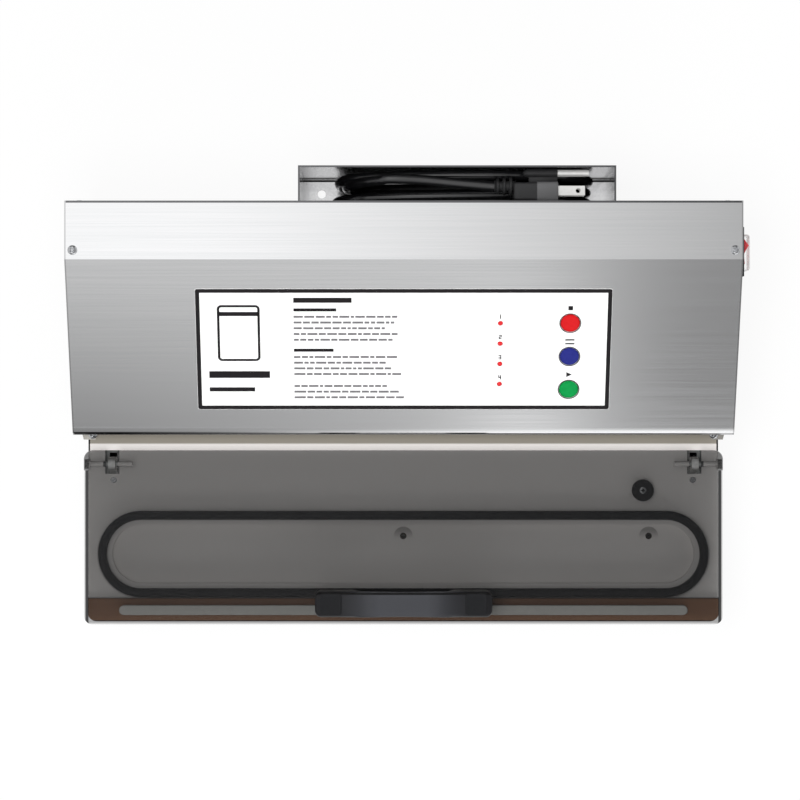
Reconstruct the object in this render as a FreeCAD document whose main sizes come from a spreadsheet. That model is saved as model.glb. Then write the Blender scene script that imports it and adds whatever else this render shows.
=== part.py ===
import FreeCAD, Part
import math
import os
import re
import Sketcher

# A vacuum sealer: steel housing behind a deck with a smoked lid, and a cord bin on its back.
# Millimetres. X to the right, Y to the rear, Z up, origin on the floor under the middle of the machine.

SIZES = [
    # Housing
    ("housing_width", 440.0),
    ("housing_depth", 151.0),
    ("housing_height", 175.0),
    ("top_depth", 37.9),
    ("slope_foot", 115.0),
    ("lip_height", 15.0),
    ("sheet", 1.2),
    ("fold_radius", 1.0),
    ("flange", 12.0),
    ("foot_height", 10.0),
    ("foot_radius", 11.0),
    ("foot_taper", 1.0),
    ("foot_pocket", 5.0),
    ("foot_pocket_room", 1.0),
    ("foot_inset", 24.0),
    ("pan_flange", 18.0),
    # Fasteners
    ("screw_radius", 1.95),
    ("screw_head_radius", 3.1),
    ("screw_head", 2.1),
    ("screw_length", 7.0),
    ("rear_screw_length", 6.0),
    ("foot_screw_end", 2.0),
    ("fit", 0.1),
    ("running_fit", 0.05),
    ("soft_gap", 0.3),
    ("overcut", 1.0),
    ("top_screw_inset", 5.3),
    ("top_screw_back", 32.1),
    ("side_screw_front", 7.5),
    ("side_screw_back", 30.0),
    ("rear_screw_low", 40.0),
    ("rear_screw_high", 30.0),
    # Deck
    ("deck_width", 424.0),
    ("deck_height", 86.0),
    ("deck_sheet", 1.5),
    ("deck_tuck", 8.0),
    ("deck_upstand", 20.0),
    ("deck_corner", 6.0),
    ("corner_tab", 4.6),
    ("corner_tab_width", 11.0),
    ("corner_tab_reach", 6.4),
    ("corner_tab_slant", 1.5),
    ("trough_length", 392.0),
    ("trough_width", 40.0),
    ("trough_depth", 7.0),
    ("trough_front", 26.6),
    ("port_radius", 2.25),
    ("port_dish", 6.3),
    ("port_dish_depth", 0.5),
    ("port_back", 11.6),
    ("sensor_port_side", 165.8),
    # Lid
    ("lid_depth", 116.4),
    ("lid_thickness", 12.0),
    ("lid_gap", 8.3),
    ("lid_overhang", 1.5),
    ("lid_corner", 6.0),
    ("lid_edge", 2.0),
    ("gasket_width", 6.3),
    ("gasket_margin", 2.95),
    ("groove_depth", 3.0),
    ("pad_length", 381.0),
    ("pad_width", 6.4),
    ("pad_front", 9.1),
    # Hinge
    ("hinge_gap", 11.6),
    ("hinge_inset", 9.2),
    ("hinge_side", 195.0),
    ("hinge_arm", 4.7),
    ("hinge_eye", 4.6),
    ("hinge_notch", 7.6),
    ("hinge_notch_reach", 6.5),
    ("hinge_pin_radius", 1.8),
    ("hinge_pin_inner", 13.7),
    ("hinge_head_radius", 3.1),
    ("hinge_head", 2.4),
    ("hinge_head_recess", 1.6),
    ("hinge_slot_back", 2.8),
    ("hinge_slot_front", 2.2),
    ("bracket_base", 2.0),
    ("bracket_base_width", 9.0),
    ("bracket_toe", 11.0),
    # Handle
    ("handle_length", 117.0),
    ("handle_width", 17.1),
    ("handle_height", 34.0),
    ("handle_end_height", 31.0),
    ("handle_grip", 11.0),
    ("handle_foot", 24.0),
    ("handle_slant", 6.5),
    ("handle_end_slant", 1.2),
    ("handle_bow", 14.0),
    ("handle_front", 15.1),
    ("handle_screws_apart", 96.0),
    ("handle_edge", 2.0),
    ("handle_cap", 14.5),
    ("handle_cap_depth", 2.5),
    ("handle_cap_margin", 1.5),
    ("handle_screw_radius", 2.0),
    ("handle_screw_head", 3.2),
    ("handle_screw_head_radius", 3.6),
    ("handle_screw_bite", 8.0),
    ("handle_foot_floor", 12.0),
    # Heat seal
    ("heat_bar_width", 15.5),
    ("heat_bar_height", 3.7),
    ("ribbon_width", 3.0),
    ("ribbon_thickness", 0.25),
    ("ribbon_length", 384.0),
    ("tape_thickness", 0.3),
    ("tape_drop", 9.0),
    # Lid switch
    ("lid_switch_side", 160.9),
    ("lid_switch_back", 42.7),
    ("plunger_radius", 7.3),
    ("plunger_stem", 2.5),
    ("plunger_travel", 3.0),
    ("plunger_gap", 0.5),
    ("plunger_depth", 12.0),
    ("plunger_room", 1.0),
    ("lid_switch_width", 16.0),
    ("lid_switch_height", 24.0),
    # Control panel
    ("overlay_width", 272.2),
    ("overlay_length", 88.8),
    ("overlay_top", 21.2),
    ("overlay_sheet", 0.5),
    ("overlay_corner", 1.5),
    ("button_side", 109.0),
    ("button_top", 25.0),
    ("button_pitch", 24.4),
    ("button_radius", 6.2),
    ("button_rise", 0.9),
    ("button_flange", 1.9),
    ("button_flange_depth", 1.4),
    ("button_travel", 0.6),
    ("button_stem", 1.8),
    ("lens_side", 63.3),
    ("lens_top", 25.1),
    ("lens_pitch", 14.9),
    ("lens_radius", 1.65),
    ("lens_rise", 0.8),
    ("board_depth", 12.4),
    ("board_sheet", 1.6),
    ("board_margin", 12.0),
    ("board_button_margin", 18.0),
    ("standoff_radius", 3.0),
    ("key_width", 6.0),
    ("key_height", 3.5),
    ("key_nub", 0.5),
    ("key_nub_radius", 1.8),
    # Power switch, its level measured down from the top of the housing
    ("switch_front", 32.5),
    ("switch_level", 25.0),
    ("switch_length", 32.0),
    ("switch_width", 25.0),
    ("switch_bezel", 1.8),
    ("switch_depth", 20.0),
    ("switch_rim", 2.5),
    ("switch_well_depth", 10.0),
    ("switch_pin_inset", 1.0),
    ("rocker_length", 19.0),
    ("rocker_width", 14.6),
    ("rocker_swing", 24.0),
    ("rocker_crest", 8.4),
    ("rocker_crests_apart", 12.4),
    ("rocker_valley", 6.5),
    ("rocker_shoulder", 4.8),
    ("rocker_depth", 6.0),
    ("rocker_back", 3.0),
    ("rocker_back_width", 10.0),
    ("rocker_gap", 1.2),
    ("rocker_pin_radius", 1.25),
    ("boot_rise", 4.3),
    ("boot_wall", 0.5),
    ("boot_margin", 1.8),
    # Cord bin
    ("bin_width", 209.8),
    ("bin_depth", 25.6),
    ("bin_top", 136.0),
    ("bin_bottom", 8.0),
    ("bin_side", 35.3),
    ("bin_hole_radius", 2.8),
    ("bin_hole_inset", 13.2),
    ("bin_hole_back", 14.3),
    ("bin_screw_inset", 6.2),
    ("bin_screw_low", 30.0),
    ("bin_screw_high", 22.0),
    # Cord
    ("cord_radius", 3.3),
    ("cord_pitch", 7.2),
    ("cord_bend", 40.0),
    ("hank_width", 173.6),
    ("hank_height", 93.0),
    ("hank_side", 40.3),
    ("hank_floor_gap", 0.5),
    ("hank_wall_gap", 0.2),
    ("hank_straight", 6.6),
    ("lead_run", 55.9),
    ("lead_rise", 6.8),
    ("tail_rise", 17.0),
    ("tail_run", 60.0),
    ("grommet_radius", 9.0),
    ("grommet_flange", 2.0),
    ("grommet_wall", 1.9),
    ("grommet_tail", 3.0),
    ("elbow_length", 24.0),
    ("elbow_cover", 1.0),
    ("sleeve_wall", 0.8),
    ("sleeve_root", 1.3),
    ("plug_length", 29.1),
    ("plug_width", 14.6),
    ("plug_boss_length", 21.0),
    ("plug_boss_wall", 0.6),
    ("plug_height", 25.8),
    ("plug_neck", 12.9),
    ("plug_back", 12.5),
    ("plug_front_gap", 1.3),
    ("plug_corner", 3.0),
    ("neck_wall", 1.0),
    ("rib_rise", 2.0),
    ("rib_step", 0.7),
    ("rib_lead", 1.2),
    ("rib_trail", 1.0),
    ("blade_length", 17.8),
    ("blade_width", 6.35),
    ("blade_sheet", 1.5),
    ("blade_pitch", 12.7),
    ("blade_offset", 3.2),
    ("blade_hole_back", 4.5),
    ("blade_hole_radius", 1.6),
    ("earth_radius", 2.4),
    ("earth_reach", 11.9),
    ("earth_length", 20.5),
    # Pump
    ("pump_side", -70.0),
    ("pump_back", 79.3),
    ("isolator_radius", 7.0),
    ("isolator_height", 9.0),
    ("pump_plate", 2.0),
    ("stator_length", 60.0),
    ("stator_width", 64.0),
    ("stator_bore", 20.0),
    ("rotor_gap", 0.5),
    ("shaft_radius", 4.0),
    ("shaft_inset", 1.0),
    ("cylinder_length", 34.0),
    ("cylinder_width", 46.0),
    ("cylinder_wall", 5.0),
    ("crank_room", 15.0),
    ("crank_throw", 3.5),
    ("eccentric_radius", 8.0),
    ("eccentric_width", 10.0),
    ("piston_radius", 14.4),
    ("piston_depth", 8.0),
    ("piston_lift", 16.0),
    ("head_gap", 1.5),
    ("head_height", 14.0),
    ("nipple_length", 8.0),
    # Air lines
    ("hose_radius", 4.0),
    ("hose_bore", 2.5),
    ("fitting_radius", 6.0),
    ("fitting_length", 13.5),
    ("fitting_bore", 1.1),
    ("valve_side", 40.0),
    ("valve_width", 22.0),
    ("valve_height", 30.0),
    ("vacuum_switch_radius", 14.0),
    ("vacuum_switch_height", 22.0),
    # Transformer
    ("transformer_side", 95.0),
    ("transformer_back", 74.3),
    ("core_width", 70.0),
    ("core_height", 60.0),
    ("core_stack", 40.0),
    ("core_leg", 24.0),
    ("core_yoke", 11.0),
    ("coil_wall", 8.0),
    # Fan
    ("fan_side", -150.0),
    ("fan_level", 70.0),
    ("fan_size", 60.0),
    ("fan_depth", 20.0),
    ("fan_bore", 28.0),
    ("fan_hub", 11.0),
    ("fan_hub_depth", 12.0),
    ("fan_back", 3.0),
    ("fan_strut", 4.0),
    ("fan_pin", 1.5),
    ("fan_tip_gap", 1.8),
    ("fan_blade", 1.6),
    ("fan_pitch", 5.0),
    ("fan_blade_root", 1.0),
    ("fan_blade_inset", 1.0),
    ("vent_width", 39.2),
    ("vent_height", 3.0),
    ("vent_pitch", 8.0),
]

FAN_BLADES = 5
VENT_ROWS = 6
LENS_COUNT = 4
PLUG_RIBS = 3
HANK_LAYERS = 3
# How near two places count as the same, and the share of a run that a bend may take
NEAR = 1e-3
BEND_SHARE = 0.45
# The vacuum hose on its way: steps in X, Y and Z from the fitting, then in Y and Z from the inlet
HOSE_FROM_FITTING = ((0, 0, -30), (-6, 30, -42), (-14, 62, -30))
HOSE_TO_INLET = ((-34, -22), (-24, 0))
BUTTONS = ("stop_button", "seal_button", "start_button")
SIDES = (("left", -1), ("right", 1))

Vector = FreeCAD.Vector
AXES = {"x": Vector(1, 0, 0), "y": Vector(0, 1, 0), "z": Vector(0, 0, 1)}

doc = FreeCAD.newDocument("vacuum_sealer")
sheet = doc.addObject("Spreadsheet::Sheet", "Sizes")
for row, (alias, value) in enumerate(SIZES, 1):
    sheet.set(f"A{row}", alias)
    sheet.set(f"B{row}", str(value))
    sheet.setAlias(f"B{row}", alias)
doc.recompute()

ALIASES = {alias for alias, value in SIZES}
NODES = []


def ex(text):
    """Write the sheet's name before each size in an expression."""
    return re.sub(r"[a-z_]+", lambda m: "Sizes." + m.group() if m.group() in ALIASES else m.group(), str(text))


def number(text):
    """The value that an expression of sizes has now."""
    return float(sheet.evalExpression(ex(text)))


def bind(obj, **values):
    for name, text in values.items():
        obj.setExpression(name, ex(text))
    return obj


def at(obj, x, y, z):
    for letter, text in (("x", x), ("y", y), ("z", z)):
        obj.setExpression(f"Placement.Base.{letter}", ex(text))
    return obj


def node(name, obj):
    """Name a finished piece and list it for export."""
    obj.Label = name
    NODES.append(obj)
    return obj


def block(name, xs, ys, zs):
    """Box between two levels on each axis."""
    obj = doc.addObject("Part::Box", name)
    bind(obj, Length=f"({xs[1]}) - ({xs[0]})", Width=f"({ys[1]}) - ({ys[0]})", Height=f"({zs[1]}) - ({zs[0]})")
    return at(obj, xs[0], ys[0], zs[0])


def rod(name, axis, centre, span, radius):
    """Cylinder along an axis. Its centre is given on the other two axes in X, Y, Z order."""
    obj = doc.addObject("Part::Cylinder", name)
    obj.Placement = FreeCAD.Placement(Vector(), FreeCAD.Rotation(AXES["z"], AXES[axis]))
    bind(obj, Radius=radius, Height=f"({span[1]}) - ({span[0]})")
    place = list(centre)
    place.insert("xyz".index(axis), span[0])
    return at(obj, *place)


def cone(name, axis, centre, span, radii):
    """Cone along an axis, with a radius at each end."""
    obj = doc.addObject("Part::Cone", name)
    obj.Placement = FreeCAD.Placement(Vector(), FreeCAD.Rotation(AXES["z"], AXES[axis]))
    bind(obj, Radius1=radii[0], Radius2=radii[1], Height=f"({span[1]}) - ({span[0]})")
    place = list(centre)
    place.insert("xyz".index(axis), span[0])
    return at(obj, *place)


def fuse(name, *pieces):
    obj = doc.addObject("Part::MultiFuse", name)
    obj.Shapes = list(pieces)
    obj.Refine = True
    return obj


def cut(name, base, *tools):
    obj = doc.addObject("Part::Cut", name)
    obj.Base = base
    obj.Tool = tools[0] if len(tools) == 1 else fuse(name + "_tools", *tools)
    obj.Refine = True
    return obj


def group(name, pieces):
    obj = doc.addObject("Part::Compound", name)
    obj.Links = list(pieces)
    return obj


def capsule(name, centre, length, width, zs):
    """Flat-lying stadium shape, its length along X from end to end."""
    x, y = centre
    half = f"(({length}) - ({width})) / 2"
    return fuse(
        name,
        block(
            name + "_middle",
            (f"{x} - {half}", f"{x} + {half}"),
            (f"{y} - ({width}) / 2", f"{y} + ({width}) / 2"),
            zs,
        ),
        rod(name + "_left", "z", (f"{x} - {half}", y), zs, f"({width}) / 2"),
        rod(name + "_right", "z", (f"{x} + {half}", y), zs, f"({width}) / 2"),
    )


def prism(name, plane, outline, span):
    """Body with a straight-sided outline, pairs of expressions on an origin plane, padded between two levels."""
    body = doc.addObject("PartDesign::Body", name)
    sketch = body.newObject("Sketcher::SketchObject", name + "_outline")
    support = [feature for feature in body.Origin.OriginFeatures if feature.Role == plane + "_Plane"][0]
    sketch.AttachmentSupport = [(support, "")]
    sketch.MapMode = "FlatFace"
    start = f"-({span[1]})" if plane == "XZ" else span[0]
    sketch.setExpression("AttachmentOffset.Base.z", ex(start))
    corners = [Vector(number(u), number(v), 0) for u, v in outline]
    count = len(corners)
    for i in range(count):
        sketch.addGeometry(Part.LineSegment(corners[i], corners[(i + 1) % count]))
    for i in range(count):
        sketch.addConstraint(Sketcher.Constraint("Coincident", i, 2, (i + 1) % count, 1))
    for i, (u, v) in enumerate(outline):
        for kind, text in (("DistanceX", u), ("DistanceY", v)):
            index = sketch.addConstraint(Sketcher.Constraint(kind, -1, 1, i, 1, number(text)))
            sketch.setExpression(f"Constraints[{index}]", ex(text))
    pad = body.newObject("PartDesign::Pad", name + "_pad")
    pad.Profile = sketch
    bind(pad, Length=f"({span[1]}) - ({span[0]})")
    doc.recompute()
    return body


def plate(name, xs, ys, zs, radius, pick):
    """Upright-sided plate whose chosen upright corners are rounded."""
    outline = [(xs[0], ys[0]), (xs[1], ys[0]), (xs[1], ys[1]), (xs[0], ys[1])]
    body = prism(name, "XY", outline, zs)
    return round_edges(body, radius, lambda edge: along(edge, "z") and pick(edge.CenterOfMass))


def along(edge, axis):
    first, last = edge.Vertexes[0].Point, edge.Vertexes[-1].Point
    step = last - first
    return step.Length > 0 and abs(abs(step.normalize().dot(AXES[axis])) - 1) < NEAR


def round_edges(body, radius, pick):
    """Round the edges of a body's last feature that a test picks."""
    base = body.Tip
    edges = [f"Edge{i}" for i, edge in enumerate(base.Shape.Edges, 1) if pick(edge)]
    fillet = body.newObject("PartDesign::Fillet", body.Name + "_round")
    fillet.Base = (base, edges)
    bind(fillet, Radius=radius)
    doc.recompute()
    return body


def screw(name, axis, centre, seat, way, length="screw_length"):
    """Pan-head screw: its head stands on the seat, on the side that way (1 or -1) gives."""
    if way > 0:
        head, shank = (seat, f"{seat} + screw_head"), (f"{seat} - {length}", seat)
    else:
        head, shank = (f"{seat} - screw_head", seat), (seat, f"{seat} + {length}")
    return fuse(
        name,
        rod(name + "_head", axis, centre, head, "screw_head_radius"),
        rod(name + "_shank", axis, centre, shank, "screw_radius"),
    )


def screw_hole(name, axis, centre, seat):
    """Clearance hole through what a pan-head screw passes, to just past its end on either side."""
    reach = "(screw_length + overcut)"
    return rod(name, axis, centre, (f"{seat} - {reach}", f"{seat} + {reach}"), "screw_radius + fit")


def tube_path(points):
    """Straight runs between points, each corner rounded by the largest arc that its shorter run allows."""
    edges, radii = [], []
    start = points[0]
    for before, corner, after in zip(points, points[1:], points[2:]):
        into, out = corner - before, after - corner
        turn = into.getAngle(out)
        reach = BEND_SHARE * min(into.Length, out.Length)
        radii.append(reach / math.tan(turn / 2))
        into.normalize()
        out.normalize()
        first, last = corner - into * reach, corner + out * reach
        centre = corner + (out - into).normalize() * (radii[-1] / math.cos(turn / 2))
        middle = centre + (corner - centre).normalize() * radii[-1]
        edges += [Part.LineSegment(start, first).toShape(), Part.Arc(first, middle, last).toShape()]
        start = last
    edges.append(Part.LineSegment(start, points[-1]).toShape())
    return Part.Wire(edges), radii


def swept(wire, radius):
    """Round tube along a wire."""
    first = wire.Edges[0]
    heading = first.tangentAt(first.FirstParameter)
    ring = Part.Wire(Part.Circle(wire.Edges[0].valueAt(first.FirstParameter), heading, radius).toShape())
    shell = Part.BRepOffsetAPI.MakePipeShell(wire)
    shell.add(ring)
    shell.build()
    shell.makeSolid()
    solid = shell.shape()
    print(f"tube volume over section times length {solid.Volume / (math.pi * radius ** 2 * wire.Length):.4f}")
    return solid


def feature(name, shape):
    obj = doc.addObject("Part::Feature", name)
    obj.Shape = shape
    obj.Placement = FreeCAD.Placement()
    return obj


def points_of(route):
    """Points of a route whose coordinates are sizes or numbers."""
    return [Vector(*[number(text) for text in point]) for point in route]


# Stations along Y and levels along Z

front = "(-(lid_depth + hinge_gap + housing_depth + bin_depth) / 2)"
deck_front = f"({front} + lid_overhang)"
lid_rear = f"({front} + lid_depth)"
lip = f"({lid_rear} + hinge_gap)"
rear = f"({lip} + housing_depth)"
bend = f"({rear} - top_depth)"
panel_inside = f"({rear} - sheet)"
deck_rear = f"({lip} + deck_tuck)"
bin_rear = f"({rear} + bin_depth)"
hinge_y = f"({lid_rear} - hinge_inset)"

floor_top = "(foot_height + sheet)"
deck_under = "(deck_height - deck_sheet)"
lid_under = "(deck_height + lid_gap)"
lid_top = f"({lid_under} + lid_thickness)"
hinge_z = f"({lid_under} + lid_thickness / 2)"
lip_bottom = "(slope_foot - lip_height)"
cover_under = "(housing_height - sheet)"

half_width = "(housing_width / 2)"
half_deck = "(deck_width / 2)"
half_inside = "(housing_width / 2 - sheet)"

run = "(housing_depth - top_depth)"
drop = "(housing_height - slope_foot)"
slope_length = f"sqrt({run}^2 + {drop}^2)"
inner_foot = f"(slope_foot + sheet * ({drop} - {slope_length}) / {run})"
inner_bend = f"({lip} + ({drop} - sheet) * {run} / {drop} + sheet * {slope_length} / {drop})"


def on_panel(name, pieces):
    """Set pieces that were built flat on the sloped panel.

    They are built with the panel's outer face at height 0, the bend line on Y 0 and the slope running to -Y.
    """
    obj = group(name, pieces)
    obj.Placement = FreeCAD.Placement(Vector(), FreeCAD.Rotation(AXES["x"], 1))
    obj.setExpression("Placement.Rotation.Angle", ex(f"atan({drop} / {run})"))
    return at(obj, "0", bend, "housing_height")


# Base pan

pan_outer = plate(
    "pan_outer",
    (f"-{half_deck}", half_deck),
    (deck_front, deck_rear),
    ("foot_height", deck_under),
    "deck_corner",
    lambda centre: centre.y < number(lip),
)
pan_inner = plate(
    "pan_inner",
    (f"-{half_deck} + sheet", f"{half_deck} - sheet"),
    (f"{deck_front} + sheet", f"{deck_rear} + sheet"),
    (floor_top, f"{deck_under} + sheet"),
    "deck_corner - sheet",
    lambda centre: centre.y < number(lip),
)
rear_floor = block(
    "rear_floor",
    (f"-{half_inside}", half_inside),
    (f"{lip} + sheet", panel_inside),
    ("foot_height", floor_top),
)
pan_sides = [
    block(
        f"pan_flange_{side}",
        sorted((f"{way} * {half_inside}", f"{way} * ({half_inside} - sheet)"), key=number),
        (f"{lip} + 2 * sheet", f"{panel_inside} - 2 * sheet"),
        ("foot_height", "foot_height + pan_flange"),
    )
    for side, way in SIDES
]
pan_shell = cut("pan_shell", pan_outer, pan_inner)
pan_blank = fuse("pan_blank", pan_shell, rear_floor, *pan_sides)

foot_places = [
    (f"{way} * ({half_deck} - foot_inset)", y)
    for y in (f"{deck_front} + foot_inset", f"{rear} - foot_inset")
    for side, way in SIDES
]
side_screw_level = "(foot_height + pan_flange / 2)"
side_screw_places = [f"{lip} + side_screw_front", f"{rear} - side_screw_back"]
pan_holes = [
    screw_hole(f"pan_foot_hole_{i}", "z", place, floor_top) for i, place in enumerate(foot_places)
] + [
    screw_hole(f"pan_side_hole_{side}_{i}", "x", (y, side_screw_level), f"{way} * {half_width}")
    for side, way in SIDES
    for i, y in enumerate(side_screw_places)
]
node("base_pan", cut("pan_cut", pan_blank, *pan_holes))

# Feet and their screws

foot_screw_length = "(foot_height - foot_pocket + sheet + foot_screw_end)"
feet = []
foot_screws = []
for i, place in enumerate(foot_places):
    puck = cone(f"foot_puck_{i}", "z", place, ("0", "foot_height"), ("foot_radius - foot_taper", "foot_radius"))
    pocket_radius = "screw_head_radius + foot_pocket_room"
    pocket = rod(f"foot_pocket_{i}", "z", place, ("-overcut", "foot_pocket"), pocket_radius)
    hole = rod(f"foot_hole_{i}", "z", place, ("0", "foot_height + overcut"), "screw_radius + fit")
    feet.append(cut(f"foot_{i}", puck, pocket, hole))
    foot_screws.append(screw(f"foot_screw_{i}", "z", place, "foot_pocket", -1, foot_screw_length))
node("rubber_feet", group("feet_group", feet))
node("foot_screws", group("foot_screw_group", foot_screws))

# Deck with an opening over the trough and an upstand behind

trough_y = f"({deck_front} + trough_front + trough_width / 2 - lid_overhang)"
port_y = f"({trough_y} + port_back)"
trough_floor = "(deck_height - trough_depth)"
trough_under = f"({trough_floor} - deck_sheet)"
ports = [("main", "0"), ("sensor", "sensor_port_side")]
lid_switch_y = f"({trough_y} + lid_switch_back)"

deck_blank = plate(
    "deck_blank",
    (f"-{half_deck}", half_deck),
    (deck_front, deck_rear),
    (deck_under, "deck_height"),
    "deck_corner",
    lambda centre: centre.y < number(lip),
)
deck_formed = fuse(
    "deck_formed",
    deck_blank,
    block(
        "deck_upstand_wall",
        (f"-{half_deck}", half_deck),
        (f"{deck_rear} - deck_sheet", deck_rear),
        ("deck_height", "deck_height + deck_upstand"),
    ),
)
trough_opening = capsule(
    "trough_opening",
    ("0", trough_y),
    "trough_length",
    "trough_width",
    (f"{deck_under} - overcut", "deck_height + overcut"),
)
deck_holes = [
    rod(
        "deck_plunger_hole",
        "z",
        ("lid_switch_side", lid_switch_y),
        (f"{deck_under} - overcut", "deck_height + overcut"),
        "plunger_stem + soft_gap",
    )
]
slot_ys = (f"{hinge_y} - hinge_eye - hinge_slot_front", f"{hinge_y} + hinge_eye + hinge_slot_back")
deck_holes += [
    block(
        f"deck_hinge_slot_{side}",
        (
            f"{way} * hinge_side - hinge_arm / 2 - soft_gap",
            f"{way} * hinge_side + hinge_arm / 2 + soft_gap",
        ),
        slot_ys,
        (f"{deck_under} - overcut", "deck_height + overcut"),
    )
    for side, way in SIDES
]
bracket_screw_places = [(f"{way} * hinge_side", f"{hinge_y} - bracket_toe") for side, way in SIDES]
tab_screw_places = [
    (f"{way} * ({half_deck} - screw_head_radius)", f"{lip} + sheet - corner_tab / 2") for side, way in SIDES
]
deck_holes += [
    screw_hole(f"deck_bracket_hole_{i}", "z", place, "deck_height") for i, place in enumerate(bracket_screw_places)
]
deck_holes += [
    screw_hole(f"deck_tab_hole_{i}", "z", place, "deck_height") for i, place in enumerate(tab_screw_places)
]
node("deck_plate", cut("deck_cut", deck_formed, trough_opening, *deck_holes))

# Trough under the deck's opening: a rim on a floor plate with two dished suction ports


def trough_slab(name, zs):
    """Racetrack slab with the trough's outside outline."""
    return capsule(name, ("0", trough_y), "trough_length + 2 * deck_sheet", "trough_width + 2 * deck_sheet", zs)


trough_holes = []
for name, x in ports:
    port_zs = (f"{trough_under} - overcut", trough_floor)
    dish_zs = (f"{trough_floor} - port_dish_depth", f"{trough_floor} + overcut")
    trough_holes.append(rod(f"{name}_port", "z", (x, port_y), port_zs, "port_radius"))
    trough_holes.append(rod(f"{name}_dish", "z", (x, port_y), dish_zs, "port_dish"))
trough_base = cut("trough_base", trough_slab("trough_base_slab", (trough_under, trough_floor)), *trough_holes)
rim_inside = capsule(
    "rim_inside",
    ("0", trough_y),
    "trough_length",
    "trough_width",
    (f"{trough_floor} - overcut", f"{deck_under} + overcut"),
)
trough_rim = cut("trough_rim", trough_slab("trough_rim_slab", (trough_floor, deck_under)), rim_inside)
node("vacuum_trough", group("trough_group", [trough_base, trough_rim]))

# Housing cover: one folded sheet with lip, sloped panel and top

cover_outline = [
    (lip, lip_bottom),
    (f"{lip} + sheet", lip_bottom),
    (f"{lip} + sheet", inner_foot),
    (inner_bend, cover_under),
    (rear, cover_under),
    (rear, "housing_height"),
    (bend, "housing_height"),
    (lip, "slope_foot"),
]
cover_sheet = prism("cover_sheet", "YZ", cover_outline, (f"-{half_width}", half_width))
outer_folds = [Vector(0, number(bend), number("housing_height")), Vector(0, number(lip), number("slope_foot"))]
round_edges(
    cover_sheet,
    "fold_radius",
    lambda edge: along(edge, "x") and any(edge.CenterOfMass.distanceToPoint(fold) < NEAR for fold in outer_folds),
)
top_screw_places = [
    (f"{way} * ({half_width} - top_screw_inset)", f"{rear} - top_screw_back") for side, way in SIDES
]
button_places = [
    ("button_side", f"-(overlay_top + button_top + {i} * button_pitch)") for i in range(len(BUTTONS))
]
lens_places = [("lens_side", f"-(overlay_top + lens_top + {i} * lens_pitch)") for i in range(LENS_COUNT)]
panel_holes = on_panel(
    "panel_holes",
    [
        rod(f"panel_button_hole_{i}", "z", place, ("-2 * sheet", "sheet"), "button_radius + soft_gap")
        for i, place in enumerate(button_places)
    ]
    + [
        rod(f"panel_lens_hole_{i}", "z", place, ("-2 * sheet", "sheet"), "lens_radius + fit")
        for i, place in enumerate(lens_places)
    ],
)
cover_screw_holes = [
    screw_hole(f"cover_top_hole_{i}", "z", place, "housing_height") for i, place in enumerate(top_screw_places)
]
node("housing_cover", cut("cover_cut", cover_sheet, panel_holes, *cover_screw_holes))

# Side panels with flanges under the top, at the rear and at the front, and a screwed tab on the deck

rear_screw_levels = ["rear_screw_low", "(housing_height - rear_screw_high)"]
switch_y = f"({rear} - switch_front)"
switch_z = "(housing_height - switch_level)"
for (side, way), top_place, tab_place in zip(SIDES, top_screw_places, tab_screw_places):
    inner, outer = sorted((f"{way} * {half_inside}", f"{way} * {half_width}"), key=number)
    side_outline = [
        (lip, "foot_height"),
        (rear, "foot_height"),
        (rear, cover_under),
        (inner_bend, cover_under),
        (f"{lip} + sheet", inner_foot),
        (f"{lip} + sheet", lip_bottom),
        (lip, lip_bottom),
    ]
    inward = sorted((f"{way} * {half_inside}", f"{way} * ({half_inside} - flange)"), key=number)
    returned = sorted((f"{way} * {half_width}", f"{way} * ({half_deck} + soft_gap)"), key=number)
    tab_inside = f"{way} * ({half_deck} - corner_tab_reach)"
    tab_outside = f"{way} * ({half_deck} - corner_tab_reach + corner_tab_width)"
    tab_outline = [
        (tab_inside, f"{lip} + sheet"),
        (f"{tab_inside} + {way} * corner_tab_slant", f"{lip} - corner_tab"),
        (f"{tab_outside} - {way} * corner_tab_slant", f"{lip} - corner_tab"),
        (tab_outside, f"{lip} + sheet"),
    ]
    side_blank = fuse(
        f"side_blank_{side}",
        prism(f"side_sheet_{side}", "YZ", side_outline, (inner, outer)),
        block(
            f"side_top_flange_{side}",
            inward,
            (inner_bend, panel_inside),
            (f"{cover_under} - sheet", cover_under),
        ),
        block(
            f"side_rear_flange_{side}",
            inward,
            (f"{panel_inside} - sheet", panel_inside),
            ("foot_height + pan_flange + sheet", cover_under),
        ),
        block(f"side_front_flange_{side}", returned, (lip, f"{lip} + sheet"), ("foot_height", lip_bottom)),
        prism(f"side_tab_{side}", "XY", tab_outline, ("deck_height", "deck_height + sheet")),
    )
    side_holes = [
        screw_hole(f"side_top_hole_{side}", "z", top_place, "housing_height"),
        screw_hole(f"side_tab_hole_{side}", "z", tab_place, "deck_height"),
    ]
    side_holes += [
        screw_hole(f"side_low_hole_{side}_{i}", "x", (y, side_screw_level), f"{way} * {half_width}")
        for i, y in enumerate(side_screw_places)
    ]
    side_holes += [
        screw_hole(f"side_rear_hole_{side}_{i}", "y", (f"{way} * ({half_inside} - flange / 2)", z), rear)
        for i, z in enumerate(rear_screw_levels)
    ]
    if way > 0:
        side_holes.append(
            block(
                "switch_cutout",
                (f"{half_width} - 2 * sheet", f"{half_width} + sheet"),
                (f"{switch_y} - switch_length / 2 + switch_rim", f"{switch_y} + switch_length / 2 - switch_rim"),
                (
                    f"{switch_z} - switch_width / 2 + switch_rim",
                    f"{switch_z} + switch_width / 2 - switch_rim",
                ),
            )
        )
    node(f"side_panel_{side}", cut(f"side_cut_{side}", side_blank, *side_holes))

# Screws of the cover and the sides

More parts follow.
